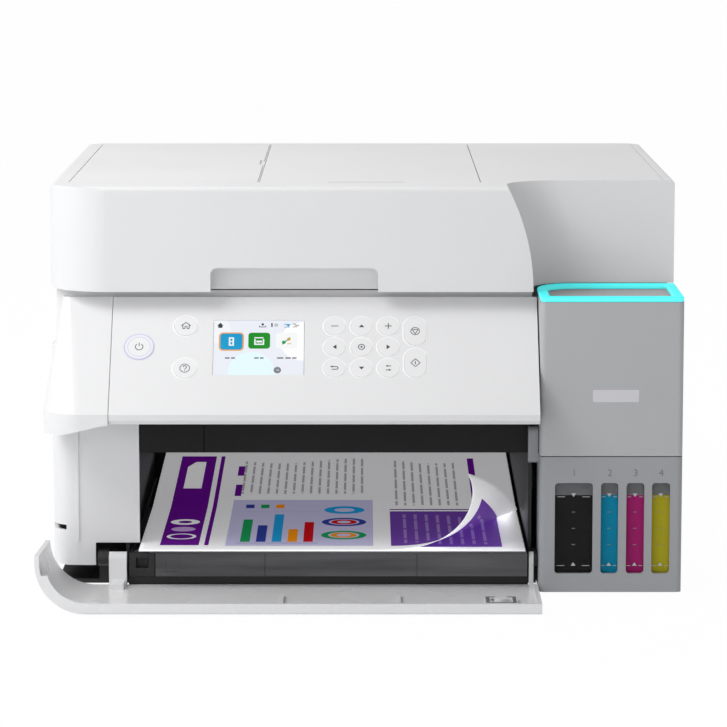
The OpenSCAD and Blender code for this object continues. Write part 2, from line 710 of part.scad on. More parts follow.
module tank_cover() in_place() color(tank_grey) difference() {
  union() {
    difference() {
      along_z([tank_seam + seam, tank_top - band_h]) tank_outline(0, corner_r);
      along_z([tank_seam - cut, tank_top - band_h - tank_t]) tank_outline(tank_t, corner_r);
      // behind the pivot only a skirt swings down
      block([tank_l - cut, tank_r + cut], [hood_y, tank_back + 2], [tank_seam - cut, hood_z]);
    }
    // round cheek on the outer side
    intersection() {
      rod_x([tank_r - tank_t, tank_r], hood_y, hood_z, hood_r);
      block([tank_l, tank_r + cut], [0, tank_back + 1], [tank_seam, tank_top - band_h]);
    }
  }
  rod_x([tank_l + tank_t - 1.5, tank_l + tank_t + cut], hood_y, hood_z, pin_r + run);
  rod_x([tank_r - tank_t - cut, tank_r - tank_t + 1.5], hood_y, hood_z, pin_r + run);
}

// band round the hood's top edge that glows
module status_light() in_place() color("#00f0f5") along_z([tank_top - band_h, tank_top]) difference() {
  tank_outline(0, corner_r);
  tank_outline(band_w, corner_r);
}

// Front cover

arm_l = [-144, -134];               // left hinge arm
arm_r = [panel_r - 4.3, panel_r - 1.7];
cover_front = pivot_y - cover_reach;
cover_top = cover_z + cover_skin + cover_rim;
tip = [34.5, 29.5];                 // height of the wrapped end, front and back

// section of the cover in (X, Z), with its left end curving up
module cover_section(inset, top) {
  difference() {
    translate([cover_l + inset, cover_z + inset]) square([cover_r - cover_l - 2 * inset, top - inset]);
    translate([cover_l + wrap_r, cover_z + wrap_r]) square([lid_w, top]);
    translate([cover_l + inset, cover_z + inset]) corner_cut(wrap_r - inset);
  }
}

module front_cover() in_place() color(white) difference() {
  union() {
    difference() {
      along_y([cover_front, pivot_y]) cover_section(0, tip[0] + 2);
      along_y([cover_front - cut, pivot_y + cut]) difference() {
        translate([cover_l + cover_skin, cover_z + cover_skin]) square([lid_w, 60]);
        translate([cover_l + cover_skin, cover_z + cover_skin]) corner_cut(wrap_r - cover_skin);
      }
    }
    // rim along the front edge, which ends part way up the wrapped end
    along_y([cover_front, cover_front + 2.4]) difference() {
      translate([cover_l + 1, cover_z + 1]) square([cover_r - cover_l - 1, wrap_r - 8]);
      translate([cover_l, cover_z]) corner_cut(wrap_r);
      translate([cover_l + cover_skin + cover_rim, cover_z + cover_skin + cover_rim]) difference() {
        square([lid_w, 60]);
        corner_cut(wrap_r - cover_skin - cover_rim);
      }
    }
    block([cover_r - 2.4, cover_r], [cover_front, pivot_y - 14], [cover_z + 1, cover_top]);
    block([-93, -88], [cover_front + 2, cover_front + 6], [cover_z + 1, cover_top]);
    for (x = [-45, 20]) block([x - 0.7, x + 0.7], [cover_front + 2, pivot_y - 34],
        [cover_z + 1, cover_top - 1.4]);
    // hinge arms
    for (x = [arm_l, arm_r]) {
      rod_x(x, pivot_y, pivot_z, 4);
      block(x, [pivot_y - 4, pivot_y + (x == arm_l ? 3 : 0)], [cover_z + 1, pivot_z]);
    }
    block([arm_l[0] + 1, arm_l[1] - 1], [pivot_y - 16, pivot_y - 3], [cover_z + 1, cover_z + 6]);
    // latch with its round knob
    difference() {
      block([67, 85], [-68, -50], [cover_z + 1, cover_z + 5]);
      rod_z(76, -59, [cover_z + 3.4, cover_top], 6.2);
    }
    rod_z(76, -59, [cover_z + 2, cover_top + 0.2], 4);
  }
  // the end's top edge slopes down to the back
  along_x([cover_l - cut, cover_l + wrap_r]) polygon([[cover_front - cut, tip[0]], [pivot_y + cut, tip[1]],
    [pivot_y + cut, 60], [cover_front - cut, 60]]);
  for (x = [arm_l, arm_r]) rod_x([x[0] - cut, x[1] + cut], pivot_y, pivot_z, pin_r + run);
  // outer front edge is broken
  translate([0, cover_front, cover_z]) rotate([45, 0, 0]) cube([3 * lid_w, 1.6, 1.6], center = true);
}

// Cassette and output tray

cassette_x = [path_x - paper_w / 2 - 4.85, path_x + paper_w / 2 + 4.85];
cassette_y = [-8, cassette_d - 8];
cassette_z = [9, 9 + cassette_h];
tray_t = 2;
smoked_l = cassette_x[0] + 14.9;    // left end of the smoked front
guide_x = path_x - paper_w / 2 - 0.6;

module cassette_tray() in_place() color(black) {
  difference() {
    block(cassette_x, cassette_y, cassette_z);
    block([cassette_x[0] + tray_t, cassette_x[1] - tray_t], [cassette_y[0] + 7, cassette_y[1] - tray_t],
      [cassette_z[0] + tray_t, cassette_z[1] + cut]);
    // seat of the smoked front
    block([smoked_l - 0.2, cassette_x[1] + cut], [cassette_y[0] - cut, cassette_y[0] + 7 + cut],
        [cassette_z[0] - cut, cassette_z[1] + cut]);
    block([cassette_x[0] + 4, cassette_x[0] + 11], [cassette_y[0] - cut, cassette_y[0] + 4],
        [cassette_z[0] + 5, cassette_z[1] - 3]);
  }
  // ribs under the paper, and the stepped left corner
  for (x = [path_x - 60:40:path_x + 90])
      block([x, x + 2], [10, cassette_y[1] - 6],
          [cassette_z[0] + tray_t - 0.1, cassette_z[0] + tray_t + 0.8]);
  block([cassette_x[0] + 3, smoked_l - 4], [cassette_y[0] + 1, cassette_y[0] + 6],
      [cassette_z[1] - 0.1, cassette_z[1] + 1.6 - gap]);
}

module cassette_cover() in_place() color([0.2, 0.2, 0.21, 0.85]) difference() {
  block([smoked_l, cassette_x[1] - 0.2], [cassette_y[0], cassette_y[0] + 7],
      [cassette_z[0] + 0.1, cassette_z[1]]);
  block([smoked_l + 2, cassette_x[1] - 2.2], [cassette_y[0] + 2, cassette_y[0] + 7 + cut],
      [cassette_z[0] - cut, cassette_z[1] - 1.6]);
  // grooves of the front wall and the square emblem field
  for (x = [-55.7, 30.3]) block([x - 0.5, x + 0.5], [cassette_y[0] - cut, cassette_y[0] + 0.6],
      [cassette_z[0], cassette_z[1] + cut]);
  block([smoked_l + 6, smoked_l + 14], [cassette_y[0] - cut, cassette_y[0] + 0.3],
      [cassette_z[0] + 3, cassette_z[0] + 10.5]);
}

module edge_guide() in_place() color(dark) {
  block([guide_x - 2, guide_x], [60, 140], [cassette_z[0] + tray_t + 1, cassette_z[1] - 1]);
  difference() {
    block([guide_x - 0.5, guide_x + 24], [88, 112],
        [cassette_z[0] + tray_t + 1, cassette_z[0] + tray_t + 2.4]);
    block([guide_x + 6, guide_x + 18], [96, 104], [cassette_z[0], cassette_z[1]]);
  }
}

tray_flat = 112;                    // where the output tray starts to rise
tray_end = 250;
tray_rise = 7;
slab = 2.5;

module output_tray() in_place() color([0.2, 0.2, 0.21, 0.85]) difference() {
  along_x([smoked_l - 3.2, cassette_x[1] - 1]) polygon([
    [-12, stack_z - slab + 0.4], [-11, stack_z - slab], [tray_flat, stack_z - slab],
        [tray_end, stack_z - slab + tray_rise],
    [tray_end, stack_z + tray_rise], [tray_flat, stack_z], [-11, stack_z], [-12, stack_z - 0.4]
  ]);
  // shallow field of the fold-out stop
  block([path_x - 30, path_x + 30], [-8, 40], [stack_z - 0.5, stack_z + cut]);
}

sheet_t = 0.4;
sheet_y = -20;
module printed_sheets() in_place() color("#f2f2f4")
    along_x([path_x - paper_w / 2 + 1.5, path_x + paper_w / 2 + 3])
  polygon([
    [sheet_y, stack_z + 0.3], [tray_flat, stack_z + 0.3], [sheet_y + paper_l, stack_z + tray_rise + 0.8],
    [sheet_y + paper_l, stack_z + tray_rise + 0.8 + 2 * sheet_t], [tray_flat, stack_z + 0.3 + 2 * sheet_t],
    [sheet_y, stack_z + 0.3 + 2 * sheet_t]
  ]);

// Chassis

floor_top = foot_h + 2.5;
bay_x = [cassette_x[0] - gap, cassette_x[1] + gap];
bay_back = 262;
wall_top = platen_z + 1.2;
frame_l = body_l + cover_t + gap;
frame_r = body_r - cover_t - gap;
frame_back = body_back - cover_t - gap;
board_x = frame_r - 14;              // main board's inner face
feed_y = 182;
feed_z = platen_z - feed_r;
exit_y = 88;
exit_z = platen_z - exit_r;
shaft_r = 3;
rail_post = [192, 214];
rail_x = frame_r - 2.5;
rail_top = side_top - 3;

module base_frame() in_place() color(black) {
  difference() {
    union() {
      // floor, narrower in front beside the tank unit
      along_z([foot_h, floor_top]) union() {
        translate([frame_l, 3.4]) square([-frame_l + tank_l - gap, frame_back - 3.4]);
        translate([0, scoop_depth + 2 + cover_t + gap])
            square([frame_r, frame_back - scoop_depth - 2 - cover_t - gap]);
      }
      block(bay_x, [pivot_y + 1, 5], [foot_h, floor_top]);
      block(bay_x, [pivot_y + 1, pivot_y + 4], [floor_top - 0.1, cassette_z[0] - 0.5]);
      // skids under the cassette
      for (x = [-110, -20, 70]) block([x - 2, x + 2], [pivot_y + 2, bay_back],
          [floor_top - 0.1, cassette_z[0] - 0.3]);
      // bay walls and the plate behind the cassette
      for (x = [bay_x[0] - 2, bay_x[1]]) {
        block([x, x + 2], [3.4, bay_back], [floor_top - 0.1, wall_top]);
        block([x, x + 2], [feed_y - 9, feed_y + 9], [wall_top - 0.1, wall_top + 3]);
      }
      block([bay_x[0] - 2, bay_x[1] + 2], [bay_back - 0.1, bay_back + 2.2],
          [floor_top - 0.1, wall_top - 16]);
      // posts of the carriage rail and of the scanner's hinges
      for (x = [-rail_x, rail_x - 3]) block([x, x + 3], rail_post, [floor_top - 0.1, rail_top - 14]);
      for (x = swing_x) {
        block([x - 5, x + 5], [swing_y - 3, frame_back], [floor_top - 0.1, swing_z]);
        rod_x([x - 5, x + 5], swing_y, swing_z, 4);
      }
      // brackets of the front cover
      block([arm_l[0] - 6.4, arm_l[0] - 0.4], [pivot_y, 5], [pivot_z - 4, pivot_z + 4]);
      rod_x([arm_l[0] - 6.4, arm_l[0] - 0.4], pivot_y, pivot_z, 4);
      block([arm_l[0] - 6.4, arm_l[0] - 0.4], [3.4, 8], [floor_top - 0.1, pivot_z + 4]);
      rod_x([arm_r[1] + 0.4, tank_l - gap], pivot_y, pivot_z, 4);
      block([arm_r[1] + 0.4, tank_l - gap], [pivot_y, 6], [pivot_z - 4, pivot_z + 4]);
      block([bay_x[1], tank_l - gap], [3.4, 6], [floor_top - 0.1, pivot_z + 4]);
    }
    for (x = [bay_x[0] - 3, bay_x[1] - cut]) {
      rod_x([x, x + 5], feed_y, feed_z, shaft_r + run);
      rod_x([x, x + 5], exit_y, exit_z, shaft_r + run);
    }
    for (x = swing_x) rod_x([x - 6, x + 6], swing_y, swing_z, pin_r + run);
  }
  rod_x([arm_l[0] - 1, arm_l[1] - 0.2], pivot_y, pivot_z, pin_r);
  rod_x([arm_r[0] + 0.2, arm_r[1] + 1], pivot_y, pivot_z, pin_r);
}

module rubber_feet() in_place() color("#151515")
  for (x = [-152, 150]) for (y = [62, 278]) rod_z(x, y, [0, foot_h], 9);

module rear_cover() in_place() color(white) difference() {
  along_y([body_back - cover_t, body_back])
      rounded([body_l, body_r], [cover_low, side_top - 2], [2, 2, 6, 6]);
  along_y([body_back - 2 * cover_t, body_back + cut]) {
    translate([duplex_x[0] - gap, duplex_z[0] - gap])
      square([duplex_x[1] - duplex_x[0] + 2 * gap, duplex_z[1] - duplex_z[0] + 2 * gap]);
    translate([inlet_x[0] - seam, inlet_z[0] - seam])
        square([inlet_x[1] - inlet_x[0] + 2 * seam, inlet_z[1] - inlet_z[0] + 2 * seam]);
    for (p = ports) translate([p[0] - 0.5, p[2] - 0.5]) square([p[1] - p[0] + 1, p[3] - p[2] + 1]);
    // vents
    for (i = [0:7]) translate([-110 + 7 * i, cover_low + 14]) square([3, 24]);
    for (i = [0:7]) translate([36 + 7 * i, cover_low + 14]) square([3, 24]);
  }
}

duplex_x = [path_x - 108, path_x + 108];
duplex_z = [60, 130];
inlet_x = [-170, -148];
inlet_z = [24, 38];
// computer and network sockets: X then Z
ports = [[board_x - 12, board_x, 70, 82], [board_x - 13, board_x, 92, 106]];

module duplex_unit() in_place() color(dark) difference() {
  union() {
    block([duplex_x[0], duplex_x[1]], [body_back - 3, body_back], duplex_z);
    along_x([duplex_x[0] + 4, duplex_x[1] - 4]) difference() {
      translate([bay_back + 4, duplex_z[0] + 3])
          square([body_back - bay_back - 6, duplex_z[1] - duplex_z[0] - 6]);
      translate([bay_back - 16, (duplex_z[0] + duplex_z[1]) / 2]) circle(28);
    }
  }
  // finger grips
  for (x = [duplex_x[0] + 12, duplex_x[1] - 36])
      block([x, x + 24], [body_back - 2, body_back + cut], [duplex_z[1] - 22, duplex_z[1] - 12]);
}

// Print mechanism

module engine_housing() in_place() color("#161617") {
  housing_shell();
  engine_lugs();
}

module housing_shell() difference() {
  along_x([bay_x[0] - 2, bay_x[1] + 2]) polygon([
    [0, wall_top + 0.7], [0, wall_top + 38], [14, side_top - 1], [46, side_top - 1], [46, side_top - 3.5],
    [16, side_top - 3.5], [3, wall_top + 37], [3, wall_top + 3.2], [60, wall_top + 3.2],
        [60, wall_top + 0.7]
  ]);
  block([-90.4, -89.8], [-cut, 0.6], [wall_top, wall_top + 38]);
  // the left post stands in front of this end
  block([bay_x[0] - 3, post_in + gap], [-cut, cover_t + gap], [wall_top, post_step + gap]);
  for (x = [-118:22:80]) block([x, x + 14], [26, 30], [wall_top, wall_top + 4]);
}
// lugs and pins that carry the control panel
module engine_lugs() for (x = lug_x) {
  rod_x([x - lug_t / 2, x + lug_t / 2], tilt_y, tilt_z, lug_r);
  block([x - lug_t / 2, x + lug_t / 2], [tilt_y - 2.2, tilt_y + 2.4], [side_top - 3.4, tilt_z]);
  rod_x([x - lug_t / 2 - gap - 2, x + lug_t / 2 + gap + 2], tilt_y, tilt_z, tilt_r);
}

module carriage_rail() in_place() color(steel) difference() {
  union() {
    block([-rail_x + 3.2, rail_x - 3.2], [200, 201.6], [96, rail_top]);
    block([-rail_x, rail_x], [200, 213], [rail_top - 1.6, rail_top]);
    block([-rail_x + 3.2, rail_x - 3.2], [200, 209], [96, 97.6]);
    for (x = [-rail_x, rail_x - 3]) block([x, x + 3], [200, 213], [rail_top - 13.9, rail_top]);
  }
  for (x = [-120:60:120]) rod_y(x, [199, 203], 116, 6);
}

module platen() in_place() color(black) {
  difference() {
    block([bay_x[0] + 0.2, bay_x[1] - 0.2], [exit_y + 12, feed_y - 14], [platen_z - 8, platen_z - 3]);
    block([bay_x[0] + 6, bay_x[1] - 6], [exit_y + 30, exit_y + 52], [platen_z - 6, platen_z - 2]);
  }
  for (x = [bay_x[0] + 8:16:bay_x[1] - 6])
      block([x, x + 1.4], [exit_y + 13, feed_y - 15], [platen_z - 7, platen_z]);
}

belt_y = 193.5;
belt_z = [108, 114];
pulley_r = 4.5;
motor_at = [154, belt_y];
idler_x = -158;
pinion_r = 4.8;
feed_gear_r = 10.2;
exit_gear_r = 8.6;
pinion_y = feed_y - 0.8 * (feed_gear_r + pinion_r + gap);
pinion_z = feed_z - 0.6 * (feed_gear_r + pinion_r + gap);

module timing_belt() in_place() color("#111111") along_z(belt_z) difference() {
  union() {
    for (x = [idler_x, motor_at[0]]) translate([x, belt_y]) circle(pulley_r + 1);
    translate([idler_x, belt_y - pulley_r - 1]) square([motor_at[0] - idler_x, 2 * pulley_r + 2]);
  }
  for (x = [idler_x, motor_at[0]]) translate([x, belt_y]) circle(pulley_r);
  translate([idler_x, belt_y - pulley_r]) square([motor_at[0] - idler_x, 2 * pulley_r]);
}

module drive_motors() in_place() color(steel) {
  rod_z(motor_at[0], belt_y, [floor_top, belt_z[0] - 28], 11);
  rod_z(motor_at[0], belt_y, [belt_z[0] - 29, belt_z[1] + 1], 1.5);
  rod_z(motor_at[0], belt_y, [belt_z[0] - 0.8, belt_z[1] + 0.8], pulley_r - 0.1);
  rod_z(idler_x, belt_y, [belt_z[0] - 0.8, belt_z[1] + 0.8], pulley_r - 0.1);
  rod_z(idler_x, belt_y, [floor_top, belt_z[0]], 3);
  // feed motor and its pinion
  rod_x([bay_x[0] - 33, bay_x[0] - 12], pinion_y, pinion_z, 11);
  rod_x([bay_x[0] - 13, bay_x[0] - 3], pinion_y, pinion_z, 1.5);
  rod_x([bay_x[0] - 9, bay_x[0] - 4], pinion_y, pinion_z, pinion_r);
  block([bay_x[0] - 30, bay_x[0] - 16], [pinion_y - 8, pinion_y + 8], [floor_top, pinion_z - 6]);
}

module roller(y, z, r, width, gear_r) {
  rod_x([bay_x[0] - 10, bay_x[1] + 2.6], y, z, shaft_r);
  for (x = [bay_x[0] + 6:24:bay_x[1] - 20]) rod_x([x, x + width], y, z, r);
  rod_x([bay_x[0] - 9, bay_x[0] - 4], y, z, gear_r);
}
module feed_roller() in_place() color(dark) roller(feed_y, feed_z, feed_r, 20, feed_gear_r);
module exit_roller() in_place() color(dark) roller(exit_y, exit_z, exit_r, 8, exit_gear_r);

park_x = 135;
carriage_y = [exit_y + 20, 186];
carriage_z = [platen_z + 5, platen_z + 49];
module print_carriage() in_place() color(black) difference() {
  union() {
    block([park_x - carriage_w / 2, park_x + carriage_w / 2], carriage_y, carriage_z);
    // arm over the belt and the foot under it, both against the rail
    block([park_x - 22, park_x + 22], [carriage_y[1] - 1, 199.6], [belt_z[1] + 2, carriage_z[1]]);
    block([park_x - 12, park_x + 12], [carriage_y[1] - 1, 199.6], [97, belt_z[0] - 2]);
    block([park_x - 26, park_x + 26], [carriage_y[0] + 10, carriage_y[1] - 24],
        [carriage_z[0] - 3, carriage_z[0] + 1]);
  }
  block([park_x - carriage_w / 2 + 4, park_x + carriage_w / 2 - 4], [carriage_y[0] + 6, carriage_y[1] - 10],
    [carriage_z[1] - 14, carriage_z[1] + cut]);
}

module purge_unit() in_place() color(dark) {
  block([tank_l + 5, frame_r - 8], [exit_y + 18, feed_y - 2], [floor_top, platen_z - 6]);
  difference() {
    block([park_x - 24, park_x + 24], [exit_y + 34, feed_y - 30], [platen_z - 7, platen_z + 1.4]);
    block([park_x - 21, park_x + 21], [exit_y + 37, feed_y - 33], [platen_z - 3, platen_z + 2]);
  }
  block([park_x - 27.5, park_x - 26], [exit_y + 36, feed_y - 32], [platen_z - 7, platen_z + 1.6]);
}

module maintenance_box() in_place() color("#8a8c90") {
  block([tank_l + 6, frame_r - 18], [feed_y + 28, frame_back - 12], [floor_top, floor_top + 44]);
  block([tank_l + 26, tank_l + 46], [frame_back - 12.1, frame_back - 9], [floor_top + 8, floor_top + 30]);
}

module power_supply() in_place() color("#3a3b3d") difference() {
  block([frame_l + 4.5, bay_x[0] - 12], [feed_y + 34, frame_back - 10], [floor_top, floor_top + 60]);
  for (y = [feed_y + 42:8:frame_back - 20])
      block([bay_x[0] - 13.5, bay_x[0] - 11], [y, y + 3], [floor_top + 10, floor_top + 50]);
}

module power_inlet() in_place() color(black) difference() {
  union() {
    block(inlet_x, [frame_back - 9.9, body_back - 0.6], inlet_z);
  }
  along_y([body_back - 8, body_back])
      translate([(inlet_x[0] + inlet_x[1]) / 2, (inlet_z[0] + inlet_z[1]) / 2])
    for (s = [-1, 1]) translate([s * 3.6, 0]) circle(3.9);
}

module main_board() in_place() {
  color("#1d5b36") block([board_x, board_x + 1.6], [frame_back - 79, frame_back - 4], [58, 130]);
  color(steel) for (p = ports) block([p[0], p[1]], [frame_back - 18, body_back - 1], [p[2], p[3]]);
  color(black) for (z = [64, 84, 110])
      block([board_x - 3.6, board_x + 0.1], [frame_back - 69, frame_back - 45], [z, z + 14]);
  // stand that carries the board
  color(steel) block([board_x + 1.5, board_x + 4], [frame_back - 39, frame_back - 31], [floor_top, 128]);
}

tube_x = tank_l + 26;
tube_z = side_top - 39;
module ink_tubes() in_place() color("#d9d9d6") {
  // manifold on the tanks, and the four tubes that lead back to the carriage
  block([tube_x - 3, tube_x + 20], [26, 34], [tank_z[1] + 0.2, tank_z[1] + 5]);
  for (i = [0:3]) {
    rod_z(tube_x + 5.5 * i, 30, [tank_z[1] + 4, tube_z + 1.4], 1.4);
    rod_y(tube_x + 5.5 * i, [30, exit_y + 12], tube_z, 1.4);
  }
  block([tube_x - 3, tube_x + 20], [exit_y, exit_y + 10], [tube_z - 3, tube_z + 3]);
}

module tube_hole(y) block([tube_x - 4, tube_x + 21], y, [tube_z - 4, tube_z + 4]);

// Nodes

base_frame();
left_cover();
left_cheek();
right_cover();
rear_cover();
rubber_feet();
engine_housing();
carriage_rail();
platen();
timing_belt();
drive_motors();
purge_unit();
maintenance_box();
power_supply();
power_inlet();
main_board();
ink_tubes();
tank_housing();
ink_tanks();
ink_fills();
tank_caps();
tank_cover();
status_light();
print_carriage();
feed_roller();
exit_roller();
scanner_bed();
scanner_glass();
scan_bar();
lid_hinges();
lid_shell();
platen_pad();
adf_frame();
adf_cover();
document_flap();
pickup_roller();
panel_face();
panel_back();
lcd();
button_power();
button_home();
button_help();
button_minus();
button_up();
button_plus();
button_left();
button_ok();
button_right();
button_back();
button_down();
button_menu();
button_stop();
button_start();
front_cover();
cassette_tray();
cassette_cover();
edge_guide();
output_tray();
printed_sheets();
duplex_unit();
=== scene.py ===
import json
import math

import bmesh
import bpy
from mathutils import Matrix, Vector


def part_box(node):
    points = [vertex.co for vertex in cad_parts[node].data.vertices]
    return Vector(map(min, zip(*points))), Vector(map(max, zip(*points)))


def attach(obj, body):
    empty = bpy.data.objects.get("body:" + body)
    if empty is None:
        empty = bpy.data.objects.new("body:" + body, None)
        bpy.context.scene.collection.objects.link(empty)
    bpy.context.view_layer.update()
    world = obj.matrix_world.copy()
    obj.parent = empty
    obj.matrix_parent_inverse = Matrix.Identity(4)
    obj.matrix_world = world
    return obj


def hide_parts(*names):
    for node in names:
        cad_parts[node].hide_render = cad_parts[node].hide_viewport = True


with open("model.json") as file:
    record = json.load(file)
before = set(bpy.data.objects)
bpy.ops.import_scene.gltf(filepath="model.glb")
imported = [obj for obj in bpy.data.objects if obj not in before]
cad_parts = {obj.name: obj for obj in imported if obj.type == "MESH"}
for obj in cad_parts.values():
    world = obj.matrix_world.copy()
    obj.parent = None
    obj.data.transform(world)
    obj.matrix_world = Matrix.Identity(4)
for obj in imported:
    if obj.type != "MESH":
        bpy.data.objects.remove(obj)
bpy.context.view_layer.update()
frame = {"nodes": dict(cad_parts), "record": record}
nodes = frame["nodes"]
mm = 0.001
yMid = 116.5  # the part's origin lies this far behind the lid's front face
print("frame loaded:", len(nodes), "nodes")


# small tools for materials

class Wire:
    # wraps a socket, so that sums and products on it add Math nodes
    def __init__(self, graph, socket):
        self.graph = graph
        self.socket = socket

    def math(self, operation, *values):
        return self.graph.add("ShaderNodeMath", {"operation": operation}, dict(enumerate(values)))

    def __add__(self, other):
        return self.math("ADD", self, other)

    def __sub__(self, other):
        return self.math("SUBTRACT", self, other)

    def __mul__(self, other):
        return self.math("MULTIPLY", self, other)

    def __truediv__(self, other):
        return self.math("DIVIDE", self, other)

    def __gt__(self, other):
        return self.math("GREATER_THAN", self, other)

    def __lt__(self, other):
        return self.math("LESS_THAN", self, other)

    def __radd__(self, other):
        return self.math("ADD", other, self)

    def __rsub__(self, other):
        return self.math("SUBTRACT", other, self)

    def __rmul__(self, other):
        return self.math("MULTIPLY", other, self)


def linear(code):
    # a hex colour as linear red, green, blue and alpha
    parts = [int(code[i:i + 2], 16) / 255 for i in (1, 3, 5)]
    return [p / 12.92 if p < 0.04045 else ((p + 0.055) / 1.055) ** 2.4 for p in parts] + [1.0]


class Graph:
    # adds nodes to any node tree: a node's settings come first, then its sockets' values or links
    def __init__(self, tree):
        self.tree = tree
        tree.nodes.clear()

    def add(self, kind, settings=None, sockets=None, output=0):
        node = self.tree.nodes.new(kind)
        for key, value in (settings or {}).items():
            if key == "stops":
                self.setStops(node.color_ramp, value)
            else:
                setattr(node, key, value)
        for key, value in (sockets or {}).items():
            if isinstance(value, Wire):
                self.tree.links.new(value.socket, node.inputs[key])
            else:
                node.inputs[key].default_value = value
        return Wire(self, node.outputs[output]) if node.outputs else node

    def setStops(self, ramp, stops):
        while len(ramp.elements) < len(stops):
            ramp.elements.new(0.5)
        for element, (place, color) in zip(ramp.elements, stops):
            element.position = place
            element.color = linear(color)

    def mixShader(self, factor, first, second):
        return self.add("ShaderNodeMixShader", None, {0: factor, 1: first, 2: second})


class Finish(Graph):
    def __init__(self, name):
        self.material = bpy.data.materials.new(name)
        self.material.use_nodes = True
        super().__init__(self.material.node_tree)

    def place(self):
        return self.add("ShaderNodeTexCoord", output="Object")

    def noise(self, scale, detail=2.0, stretch=(1, 1, 1)):
        where = self.add("ShaderNodeMapping", None, {"Vector": self.place(), "Scale": stretch})
        return self.add("ShaderNodeTexNoise", None, {"Vector": where, "Scale": scale, "Detail": detail})

    def axis(self, number):
        # X, Y or Z of a point on the piece, in metres
        return self.add("ShaderNodeSeparateXYZ", None, {0: self.place()}, output=number)

    def ramp(self, factor, stops):
        return self.add("ShaderNodeValToRGB", {"stops": stops}, {"Fac": factor})

    def mix(self, factor, first, second):
        sockets = {0: factor, 6: first, 7: second}
        return self.add("ShaderNodeMix", {"data_type": "RGBA"}, sockets, output=2)

    def bump(self, height, strength, distance):
        sockets = {"Height": height, "Strength": strength, "Distance": distance}
        return self.add("ShaderNodeBump", None, sockets)

    def shader(self, **sockets):
        named = {key.replace("_", " "): value for key, value in sockets.items()}
        return self.add("ShaderNodeBsdfPrincipled", None, named)

    def finish(self, shader):
        self.add("ShaderNodeOutputMaterial", None, {0: shader})
        return self.material


# finishes

def moulded(name, color, rough=0.45, grain=2600, depth=0.15, spread=0.03,
            coat=0.0, metal=0.0, streak=(1, 1, 1), shine=0.5):
    # moulded plastic or rolled sheet: fine grain, faint cloudiness in colour and gloss
    f = Finish(name)
    cloud = f.noise(14, 3.0)
    fine = f.noise(grain, 2.0, streak)
    dark = [c * (1 - spread) for c in linear(color)[:3]] + [1]
    pale = [min(1, c * (1 + spread)) for c in linear(color)[:3]] + [1]
    return f.finish(f.shader(
        Base_Color=f.mix(cloud, dark, pale),
        Roughness=rough + (cloud - 0.5) * 0.14,
        Normal=f.bump(fine, depth, 0.0002),
        Coat_Weight=coat,
        Coat_Roughness=0.2,
        Metallic=metal,
        Specular_IOR_Level=shine))


palette = {
    "white_shell": moulded("whiteShell", "#e9e9ea", 0.42, spread=0.012),
    "button_white": moulded("buttonWhite", "#ededee", 0.36, 3000, 0.06, 0.012),
    "tank_grey": moulded("tankGrey", "#b5b6b8", 0.5, spread=0.02),
    "black_plastic": moulded("blackPlastic", "#1b1b1d", 0.5, 1800, 0.3, 0.12),
    "grey_plastic": moulded("greyPlastic", "#77787b", 0.5),
    "rubber": moulded("footRubber", "#161617", 0.8, 1200, 0.4, 0.1),
    "roller_rubber": moulded("rollerRubber", "#2c2d2f", 0.72, 1500, 0.5, 0.1,
                             streak=(0.2, 1, 1)),
    "sheet_steel": moulded("sheetSteel", "#b4b7bb", 0.34, 1400, 0.25, 0.05,
                           metal=0.9, streak=(0.04, 1, 1)),
    "white_pad": moulded("whitePad", "#eeeeec", 0.85, 900, 0.5, 0.02),
    "clear_tube": moulded("tubeClear", "#8f8f92", 0.2, 2000, 0.05, 0.1, coat=0.4),
}


board = {"face": 158.95, "sockets": 281.0}  # X of the plate's inner face, Y of the rear sockets


def circuitBoard():
    # green plate with tracks, black connectors on it and steel sockets at the back
    f = Finish("circuitBoard")
    plate = f.axis(0) > board["face"] * mm
    socket = (f.axis(1) > (board["sockets"] - yMid) * mm) * (1 - plate)
    cell = f.add("ShaderNodeTexVoronoi", {"distance": "CHEBYCHEV"},
                 {"Vector": f.place(), "Scale": 160.0})
    track = (cell < 0.1) * plate
    fitted = f.mix(socket, linear("#18181a"), linear("#b9bbbf"))
    green = f.mix(track, linear("#1f5b35"), linear("#c9b26a"))
    return f.finish(f.shader(
        Base_Color=f.mix(plate, fitted, green),
        Roughness=0.45 - track * 0.15,
        Metallic=socket * 0.85,
        Normal=f.bump(track, 0.4, 0.0002)))


def lightBand():
    # bright on its edges and a little deeper on its flat top, with little light cast around it
    f = Finish("lightCyan")
    cloud = f.noise(30, 2.0)
    normal = f.add("ShaderNodeNewGeometry", output="Normal")
    up = f.add("ShaderNodeSeparateXYZ", None, {0: normal}, output=2)
    glow = f.mix(up > 0.7, linear("#5cfdfd"), linear("#18f2f4"))
    seen = f.add("ShaderNodeLightPath", output="Is Camera Ray")
    return f.finish(f.shader(
        Base_Color=f.mix(seen, linear("#9fb4b5"), glow),
        Emission_Color=f.mix(seen, linear("#061c1d"), glow),
        Emission_Strength=0.32,
        Roughness=0.3 + cloud * 0.1,
        Normal=f.bump(cloud, 0.03, 0.0003)))


def plateGlass():
    # the scanner's glass: mostly see-through, with a gloss
    f = Finish("plateGlass")
    cloud = f.noise(60, 2.0)
    gloss = f.shader(
        Base_Color=f.mix(cloud * 0.3, linear("#cfe0e3"), linear("#ffffff")),
        Roughness=0.04 + cloud * 0.05,
        Normal=f.bump(cloud, 0.02, 0.0004))
    clear = f.add("ShaderNodeBsdfTransparent", None, {0: linear("#ffffff")})
    edge = f.add("ShaderNodeLayerWeight", None, {"Blend": 0.35}, output="Facing")
    return f.finish(f.mixShader(0.12 + edge * 0.15, clear, gloss))


